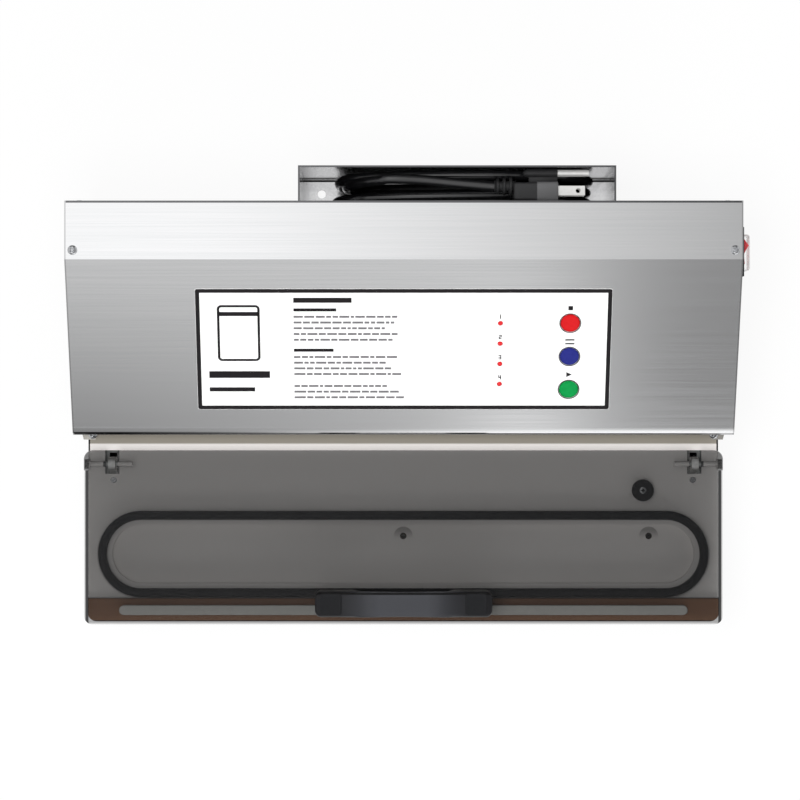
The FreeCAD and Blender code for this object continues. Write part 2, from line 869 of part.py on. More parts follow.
cover_screws = [
    screw(f"cover_screw_top_{i}", "z", place, "housing_height", 1) for i, place in enumerate(top_screw_places)
]
cover_screws += [
    screw(f"cover_screw_tab_{i}", "z", place, "(deck_height + sheet)", 1, "(sheet + deck_sheet)")
    for i, place in enumerate(tab_screw_places)
]
cover_screws += [
    screw(f"cover_screw_{side}_{i}", "x", (y, side_screw_level), f"{way} * {half_width}", way)
    for side, way in SIDES
    for i, y in enumerate(side_screw_places)
]

# Back panel with fan slots and the cord hole

bin_left = "(bin_side - bin_width / 2)"
bin_right = "(bin_side + bin_width / 2)"
bin_screw_places = [
    (x, z)
    for x in (f"{bin_left} + bin_screw_inset", f"{bin_right} - bin_screw_inset")
    for z in ("bin_bottom + bin_screw_low", "bin_top - bin_screw_high")
]
hank_left = "(hank_side - hank_width / 2)"
hank_bottom = "(bin_bottom + sheet + cord_radius + hank_floor_gap)"
inner_bottom = f"({hank_bottom} + cord_pitch)"
layers = [f"({rear} + sheet + cord_radius + hank_wall_gap + {i} * cord_pitch)" for i in range(HANK_LAYERS)]
lead_end = f"({hank_left} + cord_bend + hank_straight)"
grommet_x = f"({lead_end} + lead_run + elbow_length)"
grommet_z = f"({inner_bottom} + lead_rise)"
panel_screw_places = [
    (f"{way} * ({half_inside} - flange / 2)", z) for side, way in SIDES for z in rear_screw_levels
]
vents = [
    block(
        f"vent_{i}",
        ("fan_side - vent_width / 2", "fan_side + vent_width / 2"),
        (f"{panel_inside} - overcut", f"{rear} + overcut"),
        (
            f"fan_level + ({i} - {(VENT_ROWS - 1) / 2}) * vent_pitch - vent_height / 2",
            f"fan_level + ({i} - {(VENT_ROWS - 1) / 2}) * vent_pitch + vent_height / 2",
        ),
    )
    for i in range(VENT_ROWS)
]
panel_blank = block(
    "panel_blank", (f"-{half_inside}", half_inside), (panel_inside, rear), ("foot_height", cover_under)
)
back_holes = [
    screw_hole(f"back_hole_{i}", "y", place, rear) for i, place in enumerate(panel_screw_places + bin_screw_places)
]
cord_hole = rod(
    "cord_hole",
    "y",
    (grommet_x, grommet_z),
    (f"{panel_inside} - overcut", f"{rear} + overcut"),
    "cord_radius + grommet_wall + fit",
)
node("back_panel", cut("back_cut", panel_blank, cord_hole, *vents, *back_holes))

# Cord bin on the back panel

bin_outer = block("bin_outer", (bin_left, bin_right), (rear, bin_rear), ("bin_bottom", "bin_top"))
bin_inner = block(
    "bin_inner",
    (f"{bin_left} + sheet", f"{bin_right} - sheet"),
    (f"{rear} - overcut", f"{bin_rear} - sheet"),
    ("bin_bottom + sheet", "bin_top + overcut"),
)
bin_flanges = [
    block(f"bin_flange_{i}", xs, (rear, f"{rear} + sheet"), ("bin_bottom", "bin_top"))
    for i, xs in enumerate(((bin_left, f"{bin_left} + flange"), (f"{bin_right} - flange", bin_right)))
]
bin_blank = fuse("bin_blank", cut("bin_shell", bin_outer, bin_inner), *bin_flanges)
bin_holes = [
    rod(
        f"bin_hole_{i}",
        "z",
        (x, f"{rear} + bin_hole_back"),
        ("bin_bottom - overcut", "bin_bottom + 2 * sheet"),
        "bin_hole_radius",
    )
    for i, x in enumerate((f"{bin_left} + bin_hole_inset", f"{bin_right} - bin_hole_inset"))
]
bin_screw_holes = [
    screw_hole(f"bin_screw_hole_{i}", "y", place, rear) for i, place in enumerate(bin_screw_places)
]
node("cord_bin", cut("bin_cut", bin_blank, *bin_holes, *bin_screw_holes))
rear_screws = [
    screw(f"rear_screw_{i}", "y", place, rear, 1, "rear_screw_length") for i, place in enumerate(panel_screw_places)
] + [
    screw(f"bin_screw_{i}", "y", place, f"({rear} + sheet)", 1, "rear_screw_length")
    for i, place in enumerate(bin_screw_places)
]

# Heat seal: bar, ribbon and tape along the deck's front edge

bar_rear = f"({deck_front} + heat_bar_width)"
bar_top = "(deck_height + heat_bar_height)"
pad_y = f"({front} + pad_front)"
bar_blank = plate(
    "bar_blank",
    (f"-{half_deck}", half_deck),
    (deck_front, bar_rear),
    ("deck_height", bar_top),
    "deck_corner",
    lambda centre: centre.y < number(pad_y),
)
ribbon_ys = (f"{pad_y} - ribbon_width / 2", f"{pad_y} + ribbon_width / 2")
ribbon_xs = ("-ribbon_length / 2", "ribbon_length / 2")
ribbon_slot = block("ribbon_slot", ribbon_xs, ribbon_ys, (f"{bar_top} - ribbon_thickness", f"{bar_top} + overcut"))
node("heat_bar", cut("bar_cut", bar_blank, ribbon_slot))
node("heating_ribbon", block("ribbon", ribbon_xs, ribbon_ys, (f"{bar_top} - ribbon_thickness", bar_top)))
tape_outer = plate(
    "tape_outer",
    (f"-{half_deck} - tape_thickness", f"{half_deck} + tape_thickness"),
    (f"{deck_front} - tape_thickness", bar_rear),
    (f"{bar_top} - tape_drop", f"{bar_top} + tape_thickness"),
    "deck_corner + tape_thickness",
    lambda centre: centre.y < number(pad_y),
)
tape_inner = plate(
    "tape_inner",
    (f"-{half_deck}", half_deck),
    (deck_front, f"{bar_rear} + overcut"),
    (f"{bar_top} - tape_drop - overcut", bar_top),
    "deck_corner",
    lambda centre: centre.y < number(pad_y),
)
node("ptfe_tape", cut("tape_cut", tape_outer, tape_inner))

# Lid with grooves, hinge notches and bores

half_lid = f"({half_deck} + lid_overhang)"
gasket_length = "(trough_length + 2 * (gasket_margin + gasket_width))"
gasket_spread = "(trough_width + 2 * (gasket_margin + gasket_width))"
groove_top = f"({lid_under} + groove_depth)"
lid_blank = plate(
    "lid_blank",
    (f"-{half_lid}", half_lid),
    (front, lid_rear),
    (lid_under, lid_top),
    "lid_corner",
    lambda centre: True,
)
round_edges(lid_blank, "lid_edge", lambda edge: abs(edge.BoundBox.ZMin - number(lid_top)) < NEAR)
groove_zs = (f"{lid_under} - overcut", groove_top)
gasket_groove = cut(
    "gasket_groove",
    capsule("groove_outer", ("0", trough_y), f"{gasket_length} + 2 * fit", f"{gasket_spread} + 2 * fit", groove_zs),
    capsule(
        "groove_inner",
        ("0", trough_y),
        f"{gasket_length} - 2 * gasket_width - 2 * fit",
        f"{gasket_spread} - 2 * gasket_width - 2 * fit",
        (f"{lid_under} - 2 * overcut", f"{groove_top} + overcut"),
    ),
)
pad_groove = capsule("pad_groove", ("0", pad_y), "pad_length + 2 * fit", "pad_width + 2 * fit", groove_zs)
pin_inner_end = "(hinge_side - hinge_pin_inner)"
pin_seat = f"({half_lid} - hinge_head_recess - hinge_head)"
lid_cuts = [gasket_groove, pad_groove]
for side, way in SIDES:
    lid_cuts.append(
        block(
            f"lid_notch_{side}",
            (f"{way} * hinge_side - hinge_notch / 2", f"{way} * hinge_side + hinge_notch / 2"),
            (f"{hinge_y} - hinge_notch_reach", f"{lid_rear} + overcut"),
            (f"{lid_under} - overcut", f"{lid_top} + overcut"),
        )
    )
    bore = sorted((f"{way} * {pin_inner_end}", f"{way} * {half_lid}"), key=number)
    head_bore = sorted((f"{way} * {pin_seat}", f"{way} * ({half_lid} + overcut)"), key=number)
    lid_cuts.append(rod(f"lid_bore_{side}", "x", (hinge_y, hinge_z), bore, "hinge_pin_radius + running_fit"))
    lid_cuts.append(
        rod(f"lid_head_bore_{side}", "x", (hinge_y, hinge_z), head_bore, "hinge_head_radius + fit")
    )
handle_y = f"({front} + handle_front)"
handle_screw_places = [(f"{way} * handle_screws_apart / 2", handle_y) for side, way in SIDES]
lid_cuts += [
    rod(
        f"lid_handle_hole_{i}",
        "z",
        place,
        (f"{lid_top} - handle_screw_bite", f"{lid_top} + overcut"),
        "handle_screw_radius + running_fit",
    )
    for i, place in enumerate(handle_screw_places)
]
node("lid", cut("lid_cut", lid_blank, *lid_cuts))

gasket_zs = ("deck_height + soft_gap", groove_top)
node(
    "lid_gasket",
    cut(
        "gasket_ring",
        capsule("gasket_outer", ("0", trough_y), gasket_length, gasket_spread, gasket_zs),
        capsule(
            "gasket_inner",
            ("0", trough_y),
            f"{gasket_length} - 2 * gasket_width",
            f"{gasket_spread} - 2 * gasket_width",
            ("deck_height", f"{groove_top} + overcut"),
        ),
    ),
)
pad_zs = (f"{bar_top} + tape_thickness + soft_gap", groove_top)
node("seal_pad", capsule("pad_strip", ("0", pad_y), "pad_length", "pad_width", pad_zs))

# Hinge: a pin screwed into each end of the lid turns in the eye of a bracket, which stands up through
# a slot in the deck and is screwed to it from below

hinge_pins = []
bracket_screws = []
bracket_under = f"({deck_under} - bracket_base)"
for (side, way), screw_place in zip(SIDES, bracket_screw_places):
    pin = sorted((f"{way} * {pin_inner_end}", f"{way} * {pin_seat}"), key=number)
    head = sorted((f"{way} * {pin_seat}", f"{way} * ({pin_seat} + hinge_head)"), key=number)
    hinge_pins.append(
        fuse(
            f"hinge_pin_{side}",
            rod(f"hinge_pin_rod_{side}", "x", (hinge_y, hinge_z), pin, "hinge_pin_radius"),
            rod(f"hinge_pin_head_{side}", "x", (hinge_y, hinge_z), head, "hinge_head_radius"),
        )
    )
    arm = (f"{way} * hinge_side - hinge_arm / 2", f"{way} * hinge_side + hinge_arm / 2")
    base = (f"{way} * hinge_side - bracket_base_width / 2", f"{way} * hinge_side + bracket_base_width / 2")
    bracket_blank = fuse(
        f"bracket_blank_{side}",
        block(
            f"bracket_base_{side}",
            base,
            (f"{hinge_y} - bracket_toe - screw_head_radius - soft_gap", f"{hinge_y} + hinge_eye"),
            (bracket_under, deck_under),
        ),
        block(
            f"bracket_post_{side}",
            arm,
            (f"{hinge_y} - hinge_eye", f"{hinge_y} + hinge_eye"),
            (bracket_under, hinge_z),
        ),
        rod(f"bracket_eye_{side}", "x", (hinge_y, hinge_z), arm, "hinge_eye"),
    )
    base_hole = screw_hole(f"bracket_hole_{side}", "z", screw_place, "deck_height")
    eye_hole = rod(f"bracket_bore_{side}", "x", (hinge_y, hinge_z), base, "hinge_pin_radius + running_fit")
    node(f"hinge_bracket_{side}", cut(f"bracket_cut_{side}", bracket_blank, eye_hole, base_hole))
    bracket_screws.append(
        screw(f"bracket_screw_{side}", "z", screw_place, bracket_under, -1, "(bracket_base + deck_sheet)")
    )
node("hinge_pins", group("hinge_pin_group", hinge_pins))
node("case_screws", group("case_screw_group", cover_screws + rear_screws + bracket_screws))

# Handle: a bow with two feet, screwed to the lid through wells under square caps

half_handle = "(handle_length / 2)"
grip_under = f"({lid_top} + handle_height - handle_grip)"
end_top = f"({lid_top} + handle_end_height)"
cap_inside = "(handle_screws_apart / 2 - handle_cap / 2 - handle_cap_margin)"
bow_inside = f"({cap_inside} - handle_bow)"
handle_outline = [
    (f"-{half_handle}", lid_top),
    (f"-{half_handle} + handle_foot", lid_top),
    (f"-{half_handle} + handle_foot + handle_slant", grip_under),
    (f"{half_handle} - handle_foot - handle_slant", grip_under),
    (f"{half_handle} - handle_foot", lid_top),
    (half_handle, lid_top),
    (f"{half_handle} - handle_end_slant", end_top),
    (cap_inside, end_top),
    (bow_inside, f"{lid_top} + handle_height"),
    (f"-{bow_inside}", f"{lid_top} + handle_height"),
    (f"-{cap_inside}", end_top),
    (f"-{half_handle} + handle_end_slant", end_top),
]
handle_ys = (f"{handle_y} - handle_width / 2", f"{handle_y} + handle_width / 2")
handle_blank = prism("handle_blank", "XZ", handle_outline, handle_ys)
round_edges(
    handle_blank, "handle_edge", lambda edge: not along(edge, "y") and edge.BoundBox.ZMax > number(lid_top) + NEAR
)
well_floor = f"({lid_top} + handle_foot_floor)"
handle_cuts = []
handle_caps = []
handle_screws = []
for i, (x, y) in enumerate(handle_screw_places):
    cap_xs = (f"{x} - handle_cap / 2", f"{x} + handle_cap / 2")
    cap_ys = (f"{y} - handle_cap / 2", f"{y} + handle_cap / 2")
    cap_zs = (f"{end_top} - handle_cap_depth", end_top)
    cap = plate(f"handle_cap_{i}", cap_xs, cap_ys, cap_zs, "handle_edge", lambda centre: True)
    handle_caps.append(cap)
    handle_cuts.append(
        plate(
            f"cap_recess_{i}",
            (f"{cap_xs[0]} - fit", f"{cap_xs[1]} + fit"),
            (f"{cap_ys[0]} - fit", f"{cap_ys[1]} + fit"),
            (cap_zs[0], f"{end_top} + overcut"),
            "handle_edge + fit",
            lambda centre: True,
        )
    )
    handle_cuts.append(
        rod(f"cap_well_{i}", "z", (x, y), (well_floor, end_top), "handle_screw_head_radius + soft_gap")
    )
    handle_cuts.append(
        rod(f"handle_hole_{i}", "z", (x, y), (f"{lid_top} - overcut", end_top), "handle_screw_radius + fit")
    )
    handle_screws.append(
        fuse(
            f"handle_screw_{i}",
            rod(
                f"handle_screw_head_{i}",
                "z",
                (x, y),
                (well_floor, f"{well_floor} + handle_screw_head"),
                "handle_screw_head_radius",
            ),
            rod(
                f"handle_screw_shank_{i}",
                "z",
                (x, y),
                (f"{lid_top} - handle_screw_bite", well_floor),
                "handle_screw_radius",
            ),
        )
    )
node("lid_handle", cut("handle_cut", handle_blank, *handle_cuts))
node("handle_caps", group("handle_cap_group", handle_caps))
node("handle_screws", group("handle_screw_group", handle_screws))

# Lid switch under the deck, its capped plunger standing up through a hole

lid_switch_place = ("lid_switch_side", lid_switch_y)
plunger_top = f"({lid_under} - plunger_gap)"
cap_under = "(deck_height + plunger_travel + soft_gap)"
stem_end = f"({deck_under} - plunger_depth)"
switch_box = block(
    "lid_switch_box",
    ("lid_switch_side - lid_switch_width / 2", "lid_switch_side + lid_switch_width / 2"),
    (f"{lid_switch_y} - lid_switch_width / 2", f"{lid_switch_y} + lid_switch_width / 2"),
    (f"{deck_under} - lid_switch_height", deck_under),
)
stem_bore = rod(
    "lid_switch_bore",
    "z",
    lid_switch_place,
    (f"{stem_end} - plunger_travel - plunger_room", f"{deck_under} + overcut"),
    "plunger_stem + running_fit",
)
node("lid_switch_body", cut("lid_switch_cut", switch_box, stem_bore))
node(
    "lid_switch_plunger",
    fuse(
        "plunger",
        rod("plunger_cap", "z", lid_switch_place, (cap_under, plunger_top), "plunger_radius"),
        rod("plunger_rod", "z", lid_switch_place, (stem_end, cap_under), "plunger_stem"),
    ),
)

# Control panel: overlay, buttons and lenses on the slope, board on standoffs under it

overlay_body = plate(
    "overlay_sheet_body",
    ("-overlay_width / 2", "overlay_width / 2"),
    ("-overlay_top - overlay_length", "-overlay_top"),
    ("0", "overlay_sheet"),
    "overlay_corner",
    lambda centre: True,
)
overlay_holes = [
    rod(f"overlay_button_hole_{i}", "z", place, ("-overcut", "overcut"), "button_radius + soft_gap")
    for i, place in enumerate(button_places)
] + [
    rod(f"overlay_lens_hole_{i}", "z", place, ("-overcut", "overcut"), "lens_radius + fit")
    for i, place in enumerate(lens_places)
]
node("control_overlay", on_panel("overlay_set", [cut("overlay_cut", overlay_body, *overlay_holes)]))

flange_top = "(-sheet - soft_gap)"
flange_under = f"({flange_top} - button_flange_depth)"
key_top = "(-board_depth + key_height + key_nub)"
for name, place in zip(BUTTONS, button_places):
    button = fuse(
        name + "_piece",
        rod(name + "_cap", "z", place, (flange_top, "overlay_sheet + button_rise"), "button_radius"),
        rod(name + "_flange", "z", place, (flange_under, flange_top), "button_radius + button_flange"),
        rod(name + "_stem", "z", place, (f"{key_top} + button_travel + soft_gap", flange_under), "button_stem"),
    )
    node(name, on_panel(name + "_set", [button]))

lenses = [
    rod(f"lens_{i}", "z", place, ("-board_depth", "overlay_sheet + lens_rise"), "lens_radius")
    for i, place in enumerate(lens_places)
]
node("indicator_lenses", on_panel("lens_set", lenses))
board_xs = ("lens_side - board_margin", "button_side + board_button_margin")
last_button = f"(overlay_top + button_top + {len(BUTTONS) - 1} * button_pitch)"
board_ys = (f"-{last_button} - board_margin", "-(overlay_top + button_top) + board_margin")
board = block("board", board_xs, board_ys, ("-board_depth - board_sheet", "-board_depth"))
node("control_board", on_panel("board_set", [board]))
standoffs = [
    rod(f"standoff_{i}_{j}", "z", (x, y), ("-board_depth", "-sheet"), "standoff_radius")
    for i, x in enumerate((f"{board_xs[0]} + standoff_radius", f"{board_xs[1]} - standoff_radius"))
    for j, y in enumerate((f"{board_ys[0]} + standoff_radius", f"{board_ys[1]} - standoff_radius"))
]
node("board_standoffs", on_panel("standoff_set", standoffs))
keys = [
    fuse(
        f"key_{i}",
        block(
            f"key_body_{i}",
            (f"{x} - key_width / 2", f"{x} + key_width / 2"),
            (f"{y} - key_width / 2", f"{y} + key_width / 2"),
            ("-board_depth", "-board_depth + key_height"),
        ),
        rod(f"key_nub_{i}", "z", (x, y), ("-board_depth", key_top), "key_nub_radius"),
    )
    for i, (x, y) in enumerate(button_places)
]
node("key_switches", on_panel("key_set", keys))

# Power switch: frame through the right side panel, rocker turning on a pin about Z, clear boot over it

switch_face = f"({half_width} + switch_bezel)"
pivot_x = f"({switch_face} - rocker_depth)"


def switch_block(name, xs, length, width):
    return block(
        name,
        xs,
        (f"{switch_y} - ({length}) / 2", f"{switch_y} + ({length}) / 2"),
        (f"{switch_z} - ({width}) / 2", f"{switch_z} + ({width}) / 2"),
    )


switch_blank = fuse(
    "switch_blank",
    switch_block("switch_bezel_block", (half_width, switch_face), "switch_length", "switch_width"),
    switch_block(
        "switch_body_block",
        (f"{half_width} - switch_depth", half_width),
        "switch_length - 2 * switch_rim - 2 * fit",
        "switch_width - 2 * switch_rim - 2 * fit",
    ),
)
switch_well = switch_block(
    "switch_well",
    (f"{pivot_x} - switch_well_depth", f"{switch_face} + overcut"),
    "rocker_length + 2 * rocker_gap",
    "rocker_width + 2 * soft_gap",
)
pin_reach = "(switch_width / 2 - switch_rim - switch_pin_inset)"
switch_pin = rod(
    "switch_pin",
    "z",
    (pivot_x, switch_y),
    (f"{switch_z} - {pin_reach}", f"{switch_z} + {pin_reach}"),
    "rocker_pin_radius",
)
node("switch_frame", fuse("switch_frame_piece", cut("switch_cut", switch_blank, switch_well), switch_pin))

half_swing = "(rocker_swing / 2)"
rocker_outline = [
    ("-rocker_back", "-rocker_back_width / 2"),
    ("rocker_shoulder", "-rocker_length / 2"),
    ("rocker_crest", "-rocker_crests_apart / 2"),
    ("rocker_valley", "0"),
    ("rocker_crest", "rocker_crests_apart / 2"),
    ("rocker_shoulder", "rocker_length / 2"),
    ("-rocker_back", "rocker_back_width / 2"),
]
rocker_body = prism("rocker_body", "XY", rocker_outline, ("-rocker_width / 2", "rocker_width / 2"))
rocker_bore = rod(
    "rocker_bore", "z", ("0", "0"), ("-rocker_width", "rocker_width"), "rocker_pin_radius + running_fit"
)
rocker = cut("rocker_cut", rocker_body, rocker_bore)
rocker.Placement = FreeCAD.Placement(Vector(), FreeCAD.Rotation(-AXES["z"], 1))
rocker.setExpression("Placement.Rotation.Angle", ex(half_swing))
node("switch_rocker", at(rocker, pivot_x, switch_y, switch_z))

boot_length = "rocker_length + 2 * rocker_gap + 2 * boot_margin"
boot_width = "rocker_width + 2 * soft_gap + 2 * boot_margin"
boot_outer = switch_block("boot_outer", (switch_face, f"{switch_face} + boot_rise"), boot_length, boot_width)
boot_inner = switch_block(
    "boot_inner",
    (f"{switch_face} - overcut", f"{switch_face} + boot_rise - boot_wall"),
    f"{boot_length} - 2 * boot_wall",
    f"{boot_width} - 2 * boot_wall",
)
node("switch_boot", cut("boot_cut", boot_outer, boot_inner))

# Pump: stator on a plate over rubber isolators, a cylinder and head at each end

pump_y = f"({lip} + pump_back)"
plate_under = f"({floor_top} + isolator_height)"
plate_top = f"({plate_under} + pump_plate)"
axis_z = f"({plate_top} + stator_width / 2)"
half_stator = "(stator_length / 2)"
pump_reach = f"({half_stator} + cylinder_length)"
cylinder_top = f"({axis_z} + piston_lift + piston_depth + crank_throw + head_gap)"
isolator_places = [
    (
        f"pump_side + {way} * ({pump_reach} - isolator_radius)",
        f"{pump_y} + {row} * (stator_width / 2 - isolator_radius)",
    )
    for side, way in SIDES
    for row in (-1, 1)
]
node(
    "pump_isolators",
    group(
        "isolator_group",
        [
            rod(f"isolator_{i}", "z", place, (floor_top, plate_under), "isolator_radius")
            for i, place in enumerate(isolator_places)
        ],
    ),
)
pump_xs = (f"pump_side - {pump_reach}", f"pump_side + {pump_reach}")
stator_ys = (f"{pump_y} - stator_width / 2", f"{pump_y} + stator_width / 2")
node("pump_bracket", block("pump_plate_block", pump_xs, stator_ys, (plate_under, plate_top)))
stator_xs = (f"pump_side - {half_stator}", f"pump_side + {half_stator}")
stator_block = block("stator_block", stator_xs, stator_ys, (plate_top, f"{plate_top} + stator_width"))
stator_hole = rod("stator_hole", "x", (pump_y, axis_z), stator_xs, "stator_bore")
node("pump_stator", cut("stator_cut", stator_block, stator_hole))

shaft_pieces = [
    rod("rotor", "x", (pump_y, axis_z), stator_xs, "stator_bore - rotor_gap"),
    rod(
        "shaft",
        "x",
        (pump_y, axis_z),
        (f"pump_side - {pump_reach} + shaft_inset", f"pump_side + {pump_reach} - shaft_inset"),
        "shaft_radius",
    ),
]
heads = []
for side, way in SIDES:
    near, far = f"pump_side + {way} * {half_stator}", f"pump_side + {way} * {pump_reach}"
    middle = f"(pump_side + {way} * ({half_stator} + cylinder_length / 2))"
    xs = sorted((near, far), key=number)
    room = sorted((f"{near} + {way} * cylinder_wall", f"{far} - {way} * cylinder_wall"), key=number)
    ys = (f"{pump_y} - cylinder_width / 2", f"{pump_y} + cylinder_width / 2")
    crankcase = block(f"crankcase_{side}", xs, ys, (plate_top, cylinder_top))
    crank_space = rod(f"crank_space_{side}", "x", (pump_y, axis_z), room, "crank_room")
    bore = rod(
        f"cylinder_bore_{side}",
        "z",
        (middle, pump_y),
        (axis_z, f"{cylinder_top} + overcut"),
        "piston_radius + running_fit",
    )
    bearing = rod(f"crank_bearing_{side}", "x", (pump_y, axis_z), xs, "shaft_radius + running_fit")
    node(f"pump_cylinder_{side}", cut(f"crankcase_cut_{side}", crankcase, crank_space, bore, bearing))
    heads.append(block(f"head_{side}", xs, ys, (cylinder_top, f"{cylinder_top} + head_height")))
    piston_zs = (f"{axis_z} + piston_lift", f"{axis_z} + piston_lift + piston_depth")
    node(f"piston_{side}", rod(f"piston_disc_{side}", "z", (middle, pump_y), piston_zs, "piston_radius"))
    shaft_pieces.append(
        rod(
            f"eccentric_{side}",
            "x",
            (f"{pump_y} + {way} * crank_throw", axis_z),
            (f"{middle} - eccentric_width / 2", f"{middle} + eccentric_width / 2"),
            "eccentric_radius",
        )
    )
node("pump_shaft", fuse("shaft_piece", *shaft_pieces))
nipple_radius = "(hose_bore - fit)"
inlet_x = f"(pump_side + {half_stator} + cylinder_length / 2)"
inlet_z = f"({cylinder_top} + head_height / 2)"
inlet_y = f"({pump_y} - cylinder_width / 2)"
inlet = rod("inlet", "y", (inlet_x, inlet_z), (f"{inlet_y} - nipple_length", f"{inlet_y} + overcut"), nipple_radius)
node("pump_heads", fuse("heads_piece", *heads, inlet))

# Air lines: fittings under the trough, hoses to the pump, the release valve and the vacuum switch

fitting_end = f"({trough_under} - fitting_length)"
nipple_end = f"({fitting_end} - nipple_length)"
tee_z = f"({trough_under} - fitting_length / 2)"
fittings = []
for name, x in ports:
    pieces = [
        rod(f"{name}_fitting_body", "z", (x, port_y), (fitting_end, trough_under), "fitting_radius"),
        rod(f"{name}_fitting_nipple", "z", (x, port_y), (nipple_end, fitting_end), nipple_radius),
    ]
    if name == "main":
        tee = (x, "fitting_radius + nipple_length")
        pieces.append(rod("main_fitting_tee", "x", (port_y, tee_z), tee, nipple_radius))
    bore = rod(f"{name}_fitting_bore", "z", (x, port_y), (nipple_end, trough_under), "fitting_bore")
    fittings.append(cut(f"{name}_fitting", fuse(f"{name}_fitting_blank", *pieces), bore))
node("port_fittings", group("fitting_group", fittings))

valve_top = f"({floor_top} + valve_height)"
node(
    "release_valve",
    fuse(
        "valve",
        block(
            "valve_body",
            ("valve_side - valve_width / 2", "valve_side + valve_width / 2"),
            (f"{port_y} - valve_width / 2", f"{port_y} + valve_width / 2"),
            (floor_top, valve_top),
        ),
        rod(
            "valve_nipple", "z", ("valve_side", port_y), (valve_top, f"{valve_top} + nipple_length"), nipple_radius
        ),
    ),
)
vacuum_switch_top = f"({floor_top} + vacuum_switch_height)"
sensor_place = ("sensor_port_side", port_y)
node(
    "vacuum_switch",
    fuse(
        "vacuum_switch_piece",
        rod("vacuum_switch_can", "z", sensor_place, (floor_top, vacuum_switch_top), "vacuum_switch_radius"),
        rod(
            "vacuum_switch_nipple",
            "z",
            sensor_place,
            (vacuum_switch_top, f"{vacuum_switch_top} + nipple_length"),
            nipple_radius,
        ),
    ),
)


def hose(name, route):
    """Hose with its bore along a route, its bends as large as the runs allow."""
    wire, radii = tube_path(points_of(route))
    print(name, "bend radii", [round(radius, 1) for radius in radii])
    outside = swept(wire, number("hose_radius"))
    return feature(name, outside.cut(swept(wire, number("hose_bore"))))


main_route = [("0", port_y, fitting_end)]
main_route += [(f"{x}", f"{port_y} + {y}", f"{fitting_end} + {z}") for x, y, z in HOSE_FROM_FITTING]
main_route += [(inlet_x, f"{inlet_y} + {y}", f"{inlet_z} + {z}") for y, z in HOSE_TO_INLET]
main_route.append((inlet_x, inlet_y, inlet_z))
node("vacuum_hose", hose("main_hose", main_route))
release_route = [
    ("fitting_radius", port_y, tee_z),
    ("valve_side", port_y, tee_z),
    ("valve_side", port_y, valve_top),
]
sensor_hose = cut(
    "sensor_hose",
    rod("sensor_hose_outside", "z", sensor_place, (vacuum_switch_top, fitting_end), "hose_radius"),
    rod("sensor_hose_bore", "z", sensor_place, (vacuum_switch_top, fitting_end), "hose_bore"),
)
node("sensor_hoses", group("hose_group", [hose("release_hose", release_route), sensor_hose]))

# Transformer: laminated core with a coil round its middle leg

transformer_y = f"({lip} + transformer_back)"
core_top = f"({floor_top} + core_height)"
core_ys = (f"{transformer_y} - core_stack / 2", f"{transformer_y} + core_stack / 2")
core_blank = block(
    "core_blank",
    ("transformer_side - core_width / 2", "transformer_side + core_width / 2"),
    core_ys,
    (floor_top, core_top),
)
window_zs = (f"{floor_top} + core_yoke", f"{core_top} - core_yoke")
windows = [
    block(
        f"core_window_{side}",
        sorted(
            (
                f"transformer_side + {way} * core_leg / 2",
                f"transformer_side + {way} * (core_width / 2 - core_yoke)",
            ),
            key=number,
        ),
        (f"{core_ys[0]} - overcut", f"{core_ys[1]} + overcut"),
        window_zs,
    )
    for side, way in SIDES
]
node("transformer_core", cut("core_cut", core_blank, *windows))
leg_half = "(core_leg / 2 + fit)"
coil_half = f"({leg_half} + coil_wall)"
coil_zs = (f"{window_zs[0]} + fit", f"{window_zs[1]} - fit")
coil_blank = block(
    "coil_blank",
    (f"transformer_side - {coil_half}", f"transformer_side + {coil_half}"),
    (f"{core_ys[0]} - coil_wall", f"{core_ys[1]} + coil_wall"),
    coil_zs,
)
coil_hole = block(
    "coil_hole",
    (f"transformer_side - {leg_half}", f"transformer_side + {leg_half}"),
    (f"{core_ys[0]} - fit", f"{core_ys[1]} + fit"),
    (f"{coil_zs[0]} - overcut", f"{coil_zs[1]} + overcut"),
)
node("transformer_coil", cut("coil_cut", coil_blank, coil_hole))

# Cooling fan inside the back panel

fan_front = f"({panel_inside} - fan_depth)"
fan_place = ("fan_side", "fan_level")
fan_xs = ("fan_side - fan_size / 2", "fan_side + fan_size / 2")
fan_zs = ("fan_level - fan_size / 2", "fan_level + fan_size / 2")
fan_shell = cut(
    "fan_shell",
    block("fan_block", fan_xs, (fan_front, panel_inside), fan_zs),
    rod("fan_duct", "y", fan_place, (f"{fan_front} - overcut", f"{panel_inside} + overcut"), "fan_bore"),
)
strut_ys = (f"{panel_inside} - fan_back", panel_inside)
fan_frame = fuse(
    "fan_frame_piece",
    fan_shell,
    block("fan_strut_across", fan_xs, strut_ys, ("fan_level - fan_strut / 2", "fan_level + fan_strut / 2")),
    block("fan_strut_up", ("fan_side - fan_strut / 2", "fan_side + fan_strut / 2"), strut_ys, fan_zs),
    rod("fan_hub_disc", "y", fan_place, strut_ys, "fan_hub"),
    rod("fan_pin_rod", "y", fan_place, (f"{fan_front} + fan_back", panel_inside), "fan_pin"),
)
node("fan_frame", fan_frame)

hub_rear = f"({panel_inside} - fan_back - soft_gap)"
rotor_body = doc.addObject("PartDesign::Body", "rotor_body")


def rotor_sketch(name, role, offset):
    sketch = rotor_body.newObject("Sketcher::SketchObject", name)
    support = [part for part in rotor_body.Origin.OriginFeatures if part.Role == role][0]
    sketch.AttachmentSupport = [(support, "")]
    sketch.MapMode = "FlatFace"
    sketch.setExpression("AttachmentOffset.Base.z", ex(offset))
    return sketch


